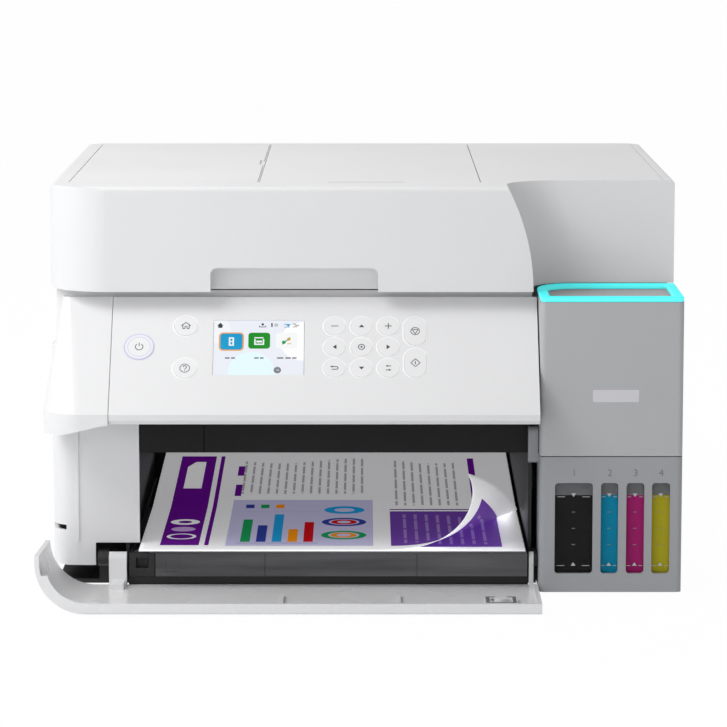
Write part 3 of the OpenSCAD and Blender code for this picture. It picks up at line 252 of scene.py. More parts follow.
ink = {
    "level": 57.9,
    "edges": [130.8, 145.1, 159.6],  # X between neighbouring tanks
    "colors": ["#1f1f20", "#00a1cb", "#c2257f", "#d3c729"],
}


def tankWall():
    # clear over the ink, misty where the tank is empty
    f = Finish("tankWall")
    cloud = f.noise(60, 2.0)
    empty = f.axis(2) > ink["level"] * mm
    gloss = f.shader(
        Base_Color=f.mix(empty, linear("#161617"), linear("#8b8c8e")),
        Roughness=0.2 + cloud * 0.05,
        Normal=f.bump(cloud, 0.02, 0.0004))
    clear = f.add("ShaderNodeBsdfTransparent", None, {0: linear("#fafafa")})
    return f.finish(f.mixShader(0.03 + empty * 0.37, clear, gloss))


def inkByPlace(name, rough):
    # black, cyan, magenta and yellow from left to right
    f = Finish(name)
    x = f.axis(0)
    color = linear(ink["colors"][0])
    for edge, nextColor in zip(ink["edges"], ink["colors"][1:]):
        color = f.mix(x > edge * mm, color, linear(nextColor))
    cloud = f.noise(40, 2.0)
    return f.finish(f.shader(
        Base_Color=f.mix(cloud * 0.1, color, linear("#101010")),
        Roughness=rough,
        Specular_IOR_Level=0.12,
        Normal=f.bump(cloud, 0.05, 0.0003)))


def smokedPlastic():
    f = Finish("smokedPlastic")
    # the light streaks in the colour are painted sheen; the dark smoky grey under them is the plastic's
    # own tone
    streak = f.noise(26, 4.0, (0.25, 1, 3.5))
    fine = f.noise(900, 2.0)
    return f.finish(f.shader(
        Base_Color=f.ramp(streak, [(0.34, "#2b2b2d"), (0.66, "#5e5e62")]),
        Roughness=0.22 + streak * 0.16,
        Coat_Weight=0.5,
        Coat_Roughness=0.12,
        Normal=f.bump(fine, 0.05, 0.0002)))


palette.update({
    "circuit_board": circuitBoard(),
    "light_cyan": lightBand(),
    "tank_clear": tankWall(),
    "glass": plateGlass(),
    "ink": inkByPlace("inkFill", 0.25),
    "cap_black": inkByPlace("capPlastic", 0.42),
    "smoked_clear": smokedPlastic(),
})
ownFinish = {  # nodes that differ from the finish of their slot
    "tank_housing": moulded("tankLowerGrey", "#9fa1a4", 0.5, spread=0.02),
    "engine_housing": moulded("engineBlack", "#131314", 0.55, 1600, 0.25, 0.08, shine=0.25),
    "front_cover": moulded("coverWhite", "#e8e8e9", 0.28, 3000, 0.04, 0.012, coat=0.3),
}
print("finishes made:", len(palette) + len(ownFinish))


# the frame's own pieces: finishes and softened edges

slotOf = {entry["node"]: entry["material_slot"] for entry in frame["record"]["subparts"]}


def dress(obj, material):
    obj.data.materials.clear()
    obj.data.materials.append(material)


for name in nodes:
    if name in ownFinish:
        dress(nodes[name], ownFinish[name])
    elif slotOf.get(name) in palette:
        dress(nodes[name], palette[slotOf[name]])

edgeWidths = {  # width of the softened edges in millimetres
    "lid_shell": 0.9, "left_cover": 0.8, "left_cheek": 0.8, "right_cover": 0.8, "rear_cover": 0.6,
    "scanner_bed": 0.8, "panel_face": 0.9, "front_cover": 0.5, "tank_housing": 0.8, "tank_cover": 1.2,
    "status_light": 0.9, "adf_cover": 0.4, "document_flap": 0.4, "cassette_cover": 0.5,
    "cassette_tray": 0.4, "engine_housing": 0.5, "output_tray": 0.4, "duplex_unit": 0.6,
    "print_carriage": 0.5, "lid_hinges": 0.4, "maintenance_box": 0.5, "power_supply": 0.5,
    "purge_unit": 0.4, "power_inlet": 0.3, "rubber_feet": 0.5,
}


def softEdges(obj, width):
    # loose triangles are joined, flat areas merged, and then sharp edges bevelled
    weld = obj.modifiers.new("weld", "WELD")
    weld.merge_threshold = 1e-6
    flat = obj.modifiers.new("flat", "DECIMATE")
    flat.decimate_type = "DISSOLVE"
    flat.angle_limit = math.radians(0.6)
    bevel = obj.modifiers.new("bevel", "BEVEL")
    bevel.width = width * mm
    bevel.segments = 2
    bevel.limit_method = "ANGLE"
    bevel.angle_limit = math.radians(38)
    bevel.face_strength_mode = "FSTR_AFFECTED"
    normals = obj.modifiers.new("normals", "WEIGHTED_NORMAL")
    normals.keep_sharp = True
    normals.use_face_influence = True


for name, width in edgeWidths.items():
    softEdges(nodes[name], width)
print("frame dressed:", len(edgeWidths), "nodes with softened edges")


# shared makers for added pieces

def keep(obj, body, slotName, material, *replaced):
    # an added piece gets its finish and the body it rides on, and the frame's pieces it stands in for are
    # hidden
    dress(obj, material)
    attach(obj, body)
    if replaced:
        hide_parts(*replaced)


def newObject(name, mesh):
    obj = bpy.data.objects.new(name, mesh)
    bpy.context.scene.collection.objects.link(obj)
    return obj


def meshOf(name, verts, faces, smooth=False):
    mesh = bpy.data.meshes.new(name)
    mesh.from_pydata([tuple(v) for v in verts], [], faces)
    mesh.validate()
    for polygon in mesh.polygons:
        polygon.use_smooth = smooth
    return newObject(name, mesh)


def outward(obj):
    # turns the faces of a closed mesh outwards
    work = bmesh.new()
    work.from_mesh(obj.data)
    bmesh.ops.recalc_face_normals(work, faces=work.faces)
    work.to_mesh(obj.data)
    work.free()


def platesOf(name, outlines, place, thick):
    # flat outlines in millimetres become thin plates; place turns (x, y, height) into metres
    verts, faces = [], []
    for outline in outlines:
        base, count = len(verts), len(outline)
        verts += [place(x, y, 0) for x, y in outline] + [place(x, y, thick) for x, y in outline]
        faces.append([base + count + i for i in range(count)])
        faces.append([base + i for i in reversed(range(count))])
        for i in range(count):
            j = (i + 1) % count
            faces.append([base + i, base + j, base + count + j, base + count + i])
    return meshOf(name, verts, faces)


def around(cx, cy, r, degrees):
    angle = math.radians(degrees)
    return cx + r * math.cos(angle), cy + r * math.sin(angle)


def disc(cx, cy, r, count):
    return [around(cx, cy, r, 360 * i / count) for i in range(count)]


def block(cx, cy, w, h):
    return [(cx - w / 2, cy - h / 2), (cx + w / 2, cy - h / 2),
            (cx + w / 2, cy + h / 2), (cx - w / 2, cy + h / 2)]


def pill(cx, cy, w, h, r):
    # a rectangle with round corners, each in six steps
    corners = [(cx + w / 2 - r, cy + h / 2 - r, 0), (cx - w / 2 + r, cy + h / 2 - r, 90),
               (cx - w / 2 + r, cy - h / 2 + r, 180), (cx + w / 2 - r, cy - h / 2 + r, 270)]
    return [around(x, y, r, a + 15 * i) for x, y, a in corners for i in range(7)]


def line(x0, y0, x1, y1, w):
    dx, dy = x1 - x0, y1 - y0
    size = math.hypot(dx, dy)
    nx, ny = -dy / size * w / 2, dx / size * w / 2
    return [(x0 - nx, y0 - ny), (x1 - nx, y1 - ny), (x1 + nx, y1 + ny), (x0 + nx, y0 + ny)]


def arc(cx, cy, r, w, start, end, count):
    # a bent band as short plates laid end to end
    inner, outer = r - w / 2, r + w / 2
    angles = [start + (end - start) * i / count for i in range(count + 1)]
    return [[around(cx, cy, inner, a), around(cx, cy, outer, a),
             around(cx, cy, outer, b), around(cx, cy, inner, b)] for a, b in zip(angles, angles[1:])]


def moved(shapes, x, y):
    return [[(px + x, py + y) for px, py in shape] for shape in shapes]


# control panel: marks on the keys and raised rims round them

panel = {
    "lean": 40.6, "topY": 11.0, "topZ": 166.2, "length": 78.3,  # the leaning face, in degrees and mm
    "middle": (-1.1, 44.6), "pitch": 15.05, "rise": 13.95,  # the nine keys in their grid
    "keyTop": 0.3, "mark": 0.05,  # height of a key over the face, thickness of its mark
    "rimGap": 0.08, "rim": 0.78,  # from a key to its rim, and the rim's width
    "rimRises": [0.04, 0.13, 0.16, 0.11, 0.0],  # heights across the rim
    "ring": 6.4,  # radius of the ring on the power key
}
leanSin, leanCos = math.sin(math.radians(panel["lean"])), math.cos(math.radians(panel["lean"]))


def onPanel(base):
    # place on the leaning face: x, distance up from its lower edge, height above it
    def place(x, up, high):
        down = panel["length"] - up
        out = base + high
        y = panel["topY"] - down * leanSin - out * leanCos
        z = panel["topZ"] - down * leanCos + out * leanSin
        return Vector((x * mm, (y - yMid) * mm, z * mm))
    return place


gridKeys = [["back", "down", "menu"], ["left", "ok", "right"], ["minus", "up", "plus"]]
keyPlaces = {"power": (-125.7, 44.7), "home": (-99.8, 58.7), "help": (-99.8, 30.5),
             "stop": (29, 55.1), "start": (29, 34.1)}
keySizes = {"power": (16, 16), "home": (13, 13), "help": (13, 13),
            "stop": (12.3, 18.8), "start": (12.3, 18.8)}
for row, names in enumerate(gridKeys):
    for column, name in enumerate(names):
        keyPlaces[name] = (panel["middle"][0] + (column - 1) * panel["pitch"],
                           panel["middle"][1] + (row - 1) * panel["rise"])
        keySizes[name] = (12.05, 12.05)

keyMarks = {  # outlines round each key's middle
    "power": arc(0, 0, 2.1, 0.44, -235, 55, 22) + [line(0, 0.4, 0, 2.7, 0.44)],
    "home": [line(-2.6, 0, 0, 2.3, 0.44), line(0, 2.3, 2.6, 0, 0.44), line(-1.8, 0.6, -1.8, -1.9, 0.44),
             line(1.8, 0.6, 1.8, -1.9, 0.44), line(-1.8, -1.9, -0.6, -1.9, 0.44),
             line(1.8, -1.9, 0.6, -1.9, 0.44), line(-0.6, -1.9, -0.6, -0.4, 0.40),
             line(0.6, -1.9, 0.6, -0.4, 0.40), line(-0.6, -0.4, 0.6, -0.4, 0.40)],
    "help": arc(0, 0, 2.7, 0.40, 0, 360, 30) + arc(0, 0.7, 0.95, 0.44, -60, 180, 12)
            + [line(0.45, -0.1, 0, -0.9, 0.44), disc(0, -1.6, 0.26, 10)],
    "minus": [line(-2, 0, 2, 0, 0.46)],
    "up": [[(-1.5, -0.8), (1.5, -0.8), (0, 1)]],
    "plus": [line(-1.9, 0, 1.9, 0, 0.46), line(0, -1.9, 0, 1.9, 0.46)],
    "left": [[(1, -1.5), (1, 1.5), (-1, 0)]],
    "ok": arc(0, 0, 1.7, 0.50, 0, 360, 24) + [disc(0, 0, 0.62, 14)],
    "right": [[(-1, -1.5), (1, 0), (-1, 1.5)]],
    "back": [line(-1.6, 0.9, 1, 0.9, 0.46), line(-1.6, -0.9, 1, -0.9, 0.46),
             [(-1.2, 0.2), (-1.2, 1.6), (-2.4, 0.9)]] + arc(1, 0, 0.9, 0.46, -90, 90, 10),
    "down": [[(-1.5, 0.8), (0, -1), (1.5, 0.8)]],
    "menu": [line(-0.4, 1.3, 1.5, 1.3, 0.46), line(0.4, -1.3, -1.5, -1.3, 0.46),
             [(-0.3, 0.6), (-0.3, 2), (-1.5, 1.3)], [(0.3, -2), (1.5, -1.3), (0.3, -0.6)]],
    "stop": arc(0, 0, 2.4, 0.40, 0, 360, 30)
            + [line(-1.6, 1, 1.6, 1, 0.40), line(-1.6, 1, 0, -1.8, 0.40), line(1.6, 1, 0, -1.8, 0.40)],
    "start": [line(-2.6, 0, 0, 2.6, 0.40), line(0, 2.6, 2.6, 0, 0.40), line(2.6, 0, 0, -2.6, 0.40),
              line(0, -2.6, -2.6, 0, 0.40), line(0, -1.1, 0, 1.1, 0.46)],
}

markInk = moulded("markInk", "#3b3d41", 0.6, 3000, 0.05, 0.05)
rimWhite = moulded("rimWhite", "#fdfdfe", 0.32, 3000, 0.05, 0.01)
rimLilac = moulded("rimLilac", "#d3d0f3", 0.3, 3000, 0.05, 0.02)

for name, shapes in keyMarks.items():
    outlines = moved(shapes, *keyPlaces[name])
    mark = platesOf("mark_" + name, outlines, onPanel(panel["keyTop"]), panel["mark"])
    keep(mark, "key_" + name, "button_white", markInk)


def rimOutline(at, size, grow):
    # closed outline round a key, wide and high in millimetres
    wide, tall = size
    r = wide / 2 + grow
    straight = (tall - wide) / 2
    half = [around(0, straight, r, 9 * i) for i in range(21)]
    return [(at[0] + x, at[1] + y) for x, y in half + [(-x, -y) for x, y in half]]


def rimsPiece(name, keys):
    # low rounded rims that stand on the face round their keys, with a floor just below it
    verts, faces = [], []
    place = onPanel(0)
    heights = panel["rimRises"] + [-0.1, -0.1]
    last = len(panel["rimRises"]) - 1
    steps = list(range(last + 1)) + [last, 0]
    for key in keys:
        first = len(verts)
        for step, high in zip(steps, heights):
            grow = panel["rimGap"] + panel["rim"] * step / last
            row = rimOutline(keyPlaces[key], keySizes[key], grow)
            verts += [place(x, y, high) for x, y in row]
        count = len(row)
        for k in range(len(heights)):
            low, high = first + k * count, first + (k + 1) % len(heights) * count
            for i in range(count):
                j = (i + 1) % count
                faces.append([low + i, high + i, high + j, low + j])
    obj = meshOf(name, verts, faces, True)
    outward(obj)
    return obj


keep(rimsPiece("keyRims", [key for key in keyPlaces if key != "power"]), "panel", "button_white", rimWhite)
keep(rimsPiece("powerRim", ["power"]), "panel", "button_white", rimLilac)
circle = moved(arc(0, 0, panel["ring"], 0.35, 0, 360, 40), *keyPlaces["power"])
powerRing = platesOf("powerRing", circle, onPanel(panel["keyTop"]), panel["mark"])
keep(powerRing, "key_power", "button_white", rimLilac)
print("panel marks made:", len(keyMarks))


# screen picture

screen = {
    "x": -58.75, "up": 44.5, "w": 50.7, "h": 36.2,  # its middle and size on the leaning face
    "level": -0.35, "step": 0.04,  # height of the lowest layer and of each one above it
    "glow": 0.72, "skyGlow": 0.74, "stretch": 1.32,
}


def lit(name, color, second):
    # a lit area of the screen, with a soft shift between two tones
    f = Finish(name)
    cloud = f.noise(55, 1.0)
    tone = f.mix(cloud, linear(color), linear(second))
    return f.finish(f.shader(
        Base_Color=f.mix(0.75, tone, linear("#000000")),
        Emission_Color=tone,
        Emission_Strength=screen["glow"],
        Roughness=0.12 + cloud * 0.06,
        Normal=f.bump(cloud, 0.01, 0.0002)))


skyDiscs = [  # X and Z of the middle, radius and colour, in metres
    (-0.0628, 0.1283, 0.0130, "#e8fcff"),
    (-0.0340, 0.1435, 0.0128, "#ffffff"),
    (-0.0830, 0.1490, 0.0085, "#f4f7fb"),
]


def screenBackground():
    # pale sky with large discs that stay round on the leaning screen
    f = Finish("screenSky")
    x, z = f.axis(0), f.axis(2)
    tone = linear("#edf0f8")
    for cx, cz, r, shade in skyDiscs:
        dx, dz = x - cx, (z - cz) * screen["stretch"]
        tone = f.mix((dx * dx + dz * dz) < r * r, tone, linear(shade))
    cloud = f.noise(40, 1.0)
    return f.finish(f.shader(
        Base_Color=f.mix(0.75, tone, linear("#000000")),
        Emission_Color=tone,
        Emission_Strength=screen["skyGlow"],
        Roughness=0.1 + cloud * 0.06,
        Coat_Weight=0.3,
        Normal=f.bump(cloud, 0.01, 0.0002)))


dress(nodes["lcd"], screenBackground())


def onScreen(layer):
    # place on the screen in millimetres from its upper left corner
    place = onPanel(screen["level"] + layer * screen["step"])
    left, top = screen["x"] - screen["w"] / 2, screen["up"] + screen["h"] / 2
    return lambda x, y, high: place(left + x, top + y, high)


wordStrokes = [(7.9, 2.6), (11.1, 2.2), (24.2, 2.4), (27.2, 2.0), (37.5, 3.6), (41.9, 3.0), (45.4, 2.4)]
tileMiddles = [(10.0, -14.1), (25.6, -13.5), (40.9, -13.5)]
screenParts = [  # name, layer, two tones, outlines in millimetres
    ("tileRim", 1, "#f0b45a", "#e89a3c", [pill(*tileMiddles[0], 14.0, 12.2, 2.4)]),
    ("tileBlue", 2, "#08a9dc", "#0290c6", [pill(*tileMiddles[0], 12.4, 10.7, 1.8)]),
    ("tileGreen", 2, "#08a31e", "#027c12", [pill(*tileMiddles[1], 12.2, 10.6, 1.8)]),
    ("tileWhite", 2, "#ffffff", "#f2f5f6", [pill(*tileMiddles[2], 12.0, 10.6, 1.8)]),
    ("iconsWhite", 3, "#ffffff", "#eef6fa", [
        block(9.0, -14.1, 0.9, 5.6), block(11.0, -14.1, 0.9, 5.6), block(10.0, -11.7, 2.9, 0.8),
        block(10.0, -16.5, 2.9, 0.8), block(10.0, -14.1, 2.0, 0.6), block(25.6, -15.9, 5.6, 0.9),
        block(23.2, -14.2, 0.8, 3.6), block(28.0, -14.2, 0.8, 3.6), block(25.4, -11.6, 5.2, 0.7),
        block(25.6, -14.1, 3.2, 1.2)]),
    ("iconsLeaf", 3, "#2fa45c", "#1f8f4a", [
        disc(39.4, -14.6, 1.1, 14), line(38.6, -16.0, 43.0, -11.4, 0.6)]),
    ("iconsSun", 3, "#e8b83a", "#d99a20", [
        disc(42.2, -12.6, 1.0, 14), line(41.4, -15.6, 43.6, -15.6, 0.5)]),
    ("iconsDark", 1, "#43484d", "#2f3438", [
        [(1.8, -3.4), (3.6, -1.5), (5.4, -3.4)], block(3.6, -4.1, 2.4, 1.6), disc(27.4, -2.6, 0.75, 12),
        block(27.4, -4.3, 3.6, 0.45), block(25.6, -3.9, 0.4, 1.0), block(29.2, -3.9, 0.4, 1.0),
        block(32.6, -3.0, 0.8, 2.6), block(45.2, -2.4, 2.0, 0.4), block(46.8, -3.2, 2.2, 0.4),
        block(45.6, -4.2, 2.4, 0.4)] + [block(x, -25.0, wide, 0.75) for x, wide in wordStrokes]),
    ("iconsGrey", 1, "#85898e", "#75797e", [disc(36.0, -33.0, 2.1, 20)]),
    ("iconsPale", 2, "#c9cdd1", "#b8bdc2", [
        disc(35.0, -3.1, 1.15, 16), line(35.1, -33, 36.4, -33, 0.5),
        [(36.2, -32.2), (37.2, -33.0), (36.2, -33.8)]]),
    ("iconsBlue", 2, "#2aa9dc", "#1c94c8", [
        block(41.0, -2.6, 3.0, 0.4), block(41.0, -4.4, 3.0, 0.4),
        [(40.4, -2.6), (43.2, -2.6), (41.8, -4.2)]]),
]
for name, layer, color, second, shapes in screenParts:
    piece = platesOf("screen_" + name, shapes, onScreen(layer), 0.03)
    keep(piece, "panel", "screen", lit("lit" + name[0].upper() + name[1:], color, second))
print("screen picture made:", len(screenParts))


# printed sheets: the upper one curls up at its front right corner

paper = {
    "x0": -126.4, "x1": 91.1, "y0": -20.0, "y1": 259.0, "z": 25.95, "thick": 0.16, "layer": 0.55,
    "bend": 112.0, "rise": 8.0,  # behind the bend the tray lifts the sheets
    "curlX": 4.0, "curlY": 150.0, "turn": 2.5,  # ends of the fold line and the roll in radians
    # glow is painted light: the sheets glow a little in their own print colours, so that they look
    # brightly lit in the shaded bay
    "glow": 0.34,
}


def sheetHeight(y):
    behind = max(0.0, y - paper["bend"]) / (paper["y1"] - paper["bend"])
    return paper["z"] + behind * paper["rise"]


def curled(x, y, z):
    # beyond the fold line the sheet rolls up, ever tighter towards its corner
    dx, dy = paper["x1"] - paper["curlX"], paper["curlY"] - paper["y0"]
    size = math.hypot(dx, dy)
    px, py = dy / size, -dx / size
    far = (x - paper["curlX"]) * px + (y - paper["y0"]) * py
    whole = dx * px
    if far <= 0:
        return x, y, z
    out, up, steps = 0.0, 0.0, 24
    for i in range(steps):
        angle = paper["turn"] * ((i + 0.5) / steps * far / whole) ** 2
        out += math.cos(angle) * far / steps
        up += math.sin(angle) * far / steps
    return x - px * (far - out), y - py * (far - out), z + up


def sheetPiece(name, lift, columns, rows, curl):
    # a grid of points over the sheet, with its own map and a thickness
    verts, faces, places = [], [], []
    for r in range(rows + 1):
        for c in range(columns + 1):
            u, v = c / columns, r / rows
            x = paper["x0"] + u * (paper["x1"] - paper["x0"])
            y = paper["y0"] + v * (paper["y1"] - paper["y0"])
            z = sheetHeight(y) + lift
            if curl:
                x, y, z = curled(x, y, z)
            verts.append((x * mm, (y - yMid) * mm, z * mm))
            places.append((u, v))
    for r in range(rows):
        for c in range(columns):
            a = r * (columns + 1) + c
            faces.append((a, a + 1, a + columns + 2, a + columns + 1))
    obj = meshOf(name, verts, faces, True)
    layer = obj.data.uv_layers.new(name="page")
    for loop in obj.data.loops:
        layer.data[loop.index].uv = places[loop.vertex_index]
    solid = obj.modifiers.new("thickness", "SOLIDIFY")
    solid.thickness = paper["thick"] * mm
    solid.offset = 1.0
    return obj


pageColors = {
    "paper": "#f7f7f9", "white": "#ffffff", "violet": "#640a8c", "lilac": "#c5c2e3", "plum": "#6b3fa0",
    "mauve": "#c9a5dc", "green": "#159957", "blue": "#2b3c98", "sky": "#1c9bd8", "orange": "#f39200",
    "red": "#c8000f", "axis": "#6b6b78", "rule": "#9b98bf", "text": "#77777c", "faint": "#a58ac6",
}
chartBars = [(56, 24, 92, "green"), (65, 24, 74, "blue"), (74, 24, 108, "sky"), (83, 24, 62, "orange"),
             (92, 24, 84, "red")]  # left edge, both ends, colour
chartRings = [(115, 44, 9, 13, "green"), (115, 44, 4, 7.5, "orange"), (115, 84, 9, 13, "blue"),
              (115, 84, 4, 7.5, "red"), (115, 122, 6, 12, "sky")]  # middle, both radii, colour


def printedPage():
    # blocks, bands, rows of short strokes and a chart of bars and rings, all from the page's own map, with
    # painted light: the page glows in the same colours
    f = Finish("printedPage")
    page = f.add("ShaderNodeUVMap", {"uv_map": "page"})
    u = f.add("ShaderNodeSeparateXYZ", None, {0: page}) * (paper["x1"] - paper["x0"])
    v = f.add("ShaderNodeSeparateXYZ", None, {0: page}, output=1) * (paper["y1"] - paper["y0"])

    def maths(operation, value):
        return f.add("ShaderNodeMath", {"operation": operation}, {0: value})

    def inside(wire, low, high):
        return (wire > low) * (wire < high)

    def area(x0, x1, y0, y1):
        return inside(u, x0, x1) * inside(v, y0, y1)

    def ringOf(cx, cy, r0, r1):
        dx, dy = u - cx, v - cy
        return inside(dx * dx + dy * dy, r0 * r0, r1 * r1)

    def strokes(x0, x1, y0, y1, pitch, word):
        # rows of short strokes that run from front to back, with a gap after each group
        row = maths("FLOOR", u / pitch)
        group = maths("SINE", v * word + row * 7.3)
        shade = 0.66 + maths("SINE", v * 3.1 + row * 2.1) * 0.3
        rowEnd = (y1 - 7) + maths("SINE", row * 12.9) * 7
        drawn = (maths("FRACT", u / pitch) < 0.28) * (group > -0.93) * (v < rowEnd)
        return area(x0, x1, y0, y1) * drawn * shade

    layers = [
        (area(11, 33, 14, 268), "violet"), (area(36, 38.5, 14, 268), "violet"),
        (area(48, 132, 12, 150), "lilac"), (area(142, 205, 12, 118), "plum"),
        (area(142, 205, 122, 125), "violet"),
        (area(16, 27, 180, 252) * (v * 0.1 - u * 0.3 < 19), "white"),
        (ringOf(22, 40, 6.5, 8.5), "white"), (ringOf(22, 62, 0, 7), "mauve"),
        (ringOf(22, 84, 4, 8.5), "white"),
    ]
    layers += [(area(x, x + 5.5, y0, y1), color) for x, y0, y1, color in chartBars]
    layers += [(area(53.5, 100.5, 20, 21), "axis"), (area(53.5, 100.5, 116, 116.6), "rule")]
    layers += [(ringOf(*ring), color) for *ring, color in chartRings]
    for x, color in ((56, "blue"), (65, "green"), (74, "orange")):
        layers += [(area(x, x + 5, 128, 138), color)]
    layers += [
        (strokes(50, 130, 166, 262, 5.2, 0.26), "text"), (strokes(142, 186, 136, 262, 5.2, 0.22), "text"),
        (strokes(147, 200, 20, 108, 6.5, 0.2), "faint"), (area(192, 196, 136, 262), "violet"),
        (area(48, 52, 160, 190), "violet"), (area(48, 52, 214, 240), "violet"),
    ]
    tone = linear(pageColors["paper"])
    for mask, color in layers:
        tone = f.mix(mask, tone, linear(pageColors[color]))
    fibre = f.noise(700, 3.0)
    return f.finish(f.shader(
        Base_Color=tone,
        Roughness=0.62 + fibre * 0.1,
        Emission_Color=tone,
        Emission_Strength=paper["glow"],
        Normal=f.bump(fibre, 0.12, 0.0001)))


pageFinish = printedPage()
under = sheetPiece("sheetUnder", 0.0, 24, 28, False)
upper = sheetPiece("sheetUpper", paper["layer"], 96, 120, True)
keep(under, "sheets", "paper", pageFinish, "printed_sheets")
keep(upper, "sheets", "paper", pageFinish, "printed_sheets")
print("sheets made")


# repeated small pieces by Geometry Nodes

def makeRows():
    # a row of copies of one shape along a line, made real and given one material
    tree = bpy.data.node_groups.new("shapeRow", "GeometryNodeTree")
    for label, kind in (("Count", "NodeSocketInt"), ("Start", "NodeSocketVector"),
                        ("Step", "NodeSocketVector"), ("Shape", "NodeSocketObject"),
                        ("Finish", "NodeSocketMaterial")):
        tree.interface.new_socket(label, in_out="INPUT", socket_type=kind)
    tree.interface.new_socket("Geometry", in_out="OUTPUT", socket_type="NodeSocketGeometry")
    g = Graph(tree)

    def given(label):
        return g.add("NodeGroupInput", output=label)

    points = g.add("GeometryNodeMeshLine", None,
                   {"Count": given("Count"), "Start Location": given("Start"), "Offset": given("Step")})
    shape = g.add("GeometryNodeObjectInfo", None,
                  {"Object": given("Shape"), "As Instance": True}, output="Geometry")
    copies = g.add("GeometryNodeInstanceOnPoints", None, {"Points": points, "Instance": shape})
    real = g.add("GeometryNodeRealizeInstances", None, {"Geometry": copies})
    painted = g.add("GeometryNodeSetMaterial", None, {"Geometry": real, "Material": given("Finish")})
    g.add("NodeGroupOutput", None, {"Geometry": painted})
    return tree


shapeRow = makeRows()


def at(x, y, z):
    return Vector((x * mm, (y - yMid) * mm, z * mm))


def plainFrom(obj, name):
    # the evaluated result as a plain mesh object at the origin
    graph = bpy.context.evaluated_depsgraph_get()
    mesh = bpy.data.meshes.new_from_object(obj.evaluated_get(graph))
    bpy.data.objects.remove(obj)
    return newObject(name, mesh)


def rowOf(name, shape, count, start, step, material):
    host = newObject(name + "Host", bpy.data.meshes.new(name + "Host"))
    modifier = host.modifiers.new("row", "NODES")
    modifier.node_group = shapeRow
    values = {"Count": count, "Start": start, "Step": step, "Shape": shape, "Finish": material}
    for item in shapeRow.interface.items_tree:
        if item.in_out == "INPUT":
            modifier[item.identifier] = values[item.name]
    return plainFrom(host, name)


def fromWork(name, work):
    mesh = bpy.data.meshes.new(name)
    work.to_mesh(mesh)
    work.free()
    return newObject(name, mesh)


def joined(name, parts):
    work = bmesh.new()
    for part in parts:
        work.from_mesh(part.data)
        bpy.data.objects.remove(part)
    return fromWork(name, work)


# ink tank unit: level marks, numbers and the bare plate on the hood

tank = {
    "front": -22.0, "windowFace": -19.4,
    "centres": [117.95, 138.0, 152.45, 166.8], "widths": [21.3, 9.8, 10.1, 10.2],
    "low": 18.6, "tickTop": 9.6, "tickPitch": 9.3,  # lowest level, first tick under the ink's level
    "numberZ": 70.9, "numberSize": 5.6,
    "plate": (141.0, 114.6, 25.8, 7.0),
}
markWhite = moulded("markWhite", "#bfc2c3", 0.55, 3000, 0.03, 0.03)
tickGrey = moulded("tickGrey", "#8b8f91", 0.55, 3000, 0.03, 0.03, shine=0.2)
numberGrey = moulded("numberGrey", "#77787b", 0.6, 3000, 0.05, 0.03)
plateGrey = moulded("plateGrey", "#d3d1d6", 0.4, 3000, 0.04, 0.015)


def onFront(y):
    return lambda x, z, high: at(x, y - high, z)


marks = []
for centre, width in zip(tank["centres"], tank["widths"]):
    for level, turn in ((ink["level"], -1), (tank["low"], 1)):
        marks += [[(centre - 1.3, level - turn), (centre + 1.3, level - turn), (centre, level + turn)]]
        marks += [block(centre + side * width * 0.33, level - 0.9, width * 0.2, 0.32) for side in (-1, 1)]
keep(platesOf("levelMarks", marks, onFront(tank["windowFace"]), 0.05), "base", "tank_clear", markWhite)

dash = platesOf("dash", [block(0, 0, 1.9, 0.32)], onFront(yMid), 0.05)
tickStep = (0, 0, -tank["tickPitch"] * mm)
ticks = []
for i, centre in enumerate(tank["centres"]):
    start = at(centre, tank["windowFace"], ink["level"] - tank["tickTop"])
    ticks.append(rowOf(f"ticks{i}", dash, 3, start, tickStep, tickGrey))
bpy.data.objects.remove(dash)
keep(joined("levelTicks", ticks), "base", "tank_clear", tickGrey)


def numberPiece(name, text, x, z, size):
    # flat text is made a mesh first, and then stood up in its place
    curve = bpy.data.curves.new(name, "FONT")
    curve.body = text
    curve.size = size * mm
    curve.align_x = "CENTER"
    curve.align_y = "CENTER"
    curve.extrude = 0.03 * mm
    piece = plainFrom(newObject(name + "Text", curve), name)
    for vert in piece.data.vertices:
        flat = vert.co.copy()
        vert.co = at(x, tank["front"] - 0.03, z) + Vector((flat.x, -flat.z, flat.y))
    return piece


for number, centre in enumerate(tank["centres"], 1):
    piece = numberPiece(f"tankNumber{number}", str(number), centre, tank["numberZ"], tank["numberSize"])
    keep(piece, "base", "tank_grey", numberGrey)
hoodPlate = platesOf("hoodPlate", [pill(*tank["plate"], 0.9)], onFront(tank["front"]), 0.12)
keep(hoodPlate, "tank_cover", "tank_grey", plateGrey)
print("tank marks made:", len(marks))


# latch on the front cover, and on the lid a dark line that is painted shade for its groove

latch = {"x": 76.0, "y": -59.0, "floor": 4.92, "top": 6.52, "half": 8.4, "strip": 2.0, "ring": 5.1}
grooveShade = {"x": 1.5, "y": 33.2, "w": 43.0, "h": 0.7, "r": 0.3}


def upFrom(z):
    return lambda x, y, high: at(x, y, z + high)


latchGrey = moulded("latchGrey", "#66676a", 0.5, 2000, 0.1, 0.06)
half, strip = latch["half"], latch["strip"]
middle = half - strip / 2
strips = [block(side * middle, 0, strip, 2 * half) for side in (-1, 1)]
strips += [block(0, side * middle, 2 * (half - strip), strip) for side in (-1, 1)]
ring = arc(0, 0, latch["ring"], 1.8, 0, 360, 36)
for name, shapes, level in (("latchRing", ring, latch["floor"]), ("latchFrame", strips, latch["top"])):
    piece = platesOf(name, moved(shapes, latch["x"], latch["y"]), upFrom(level), 0.05)
    keep(piece, "front_cover", "grey_plastic", latchGrey)

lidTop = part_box("lid_shell")[1].z / mm
outline = pill(grooveShade["x"], grooveShade["y"], grooveShade["w"], grooveShade["h"], grooveShade["r"])
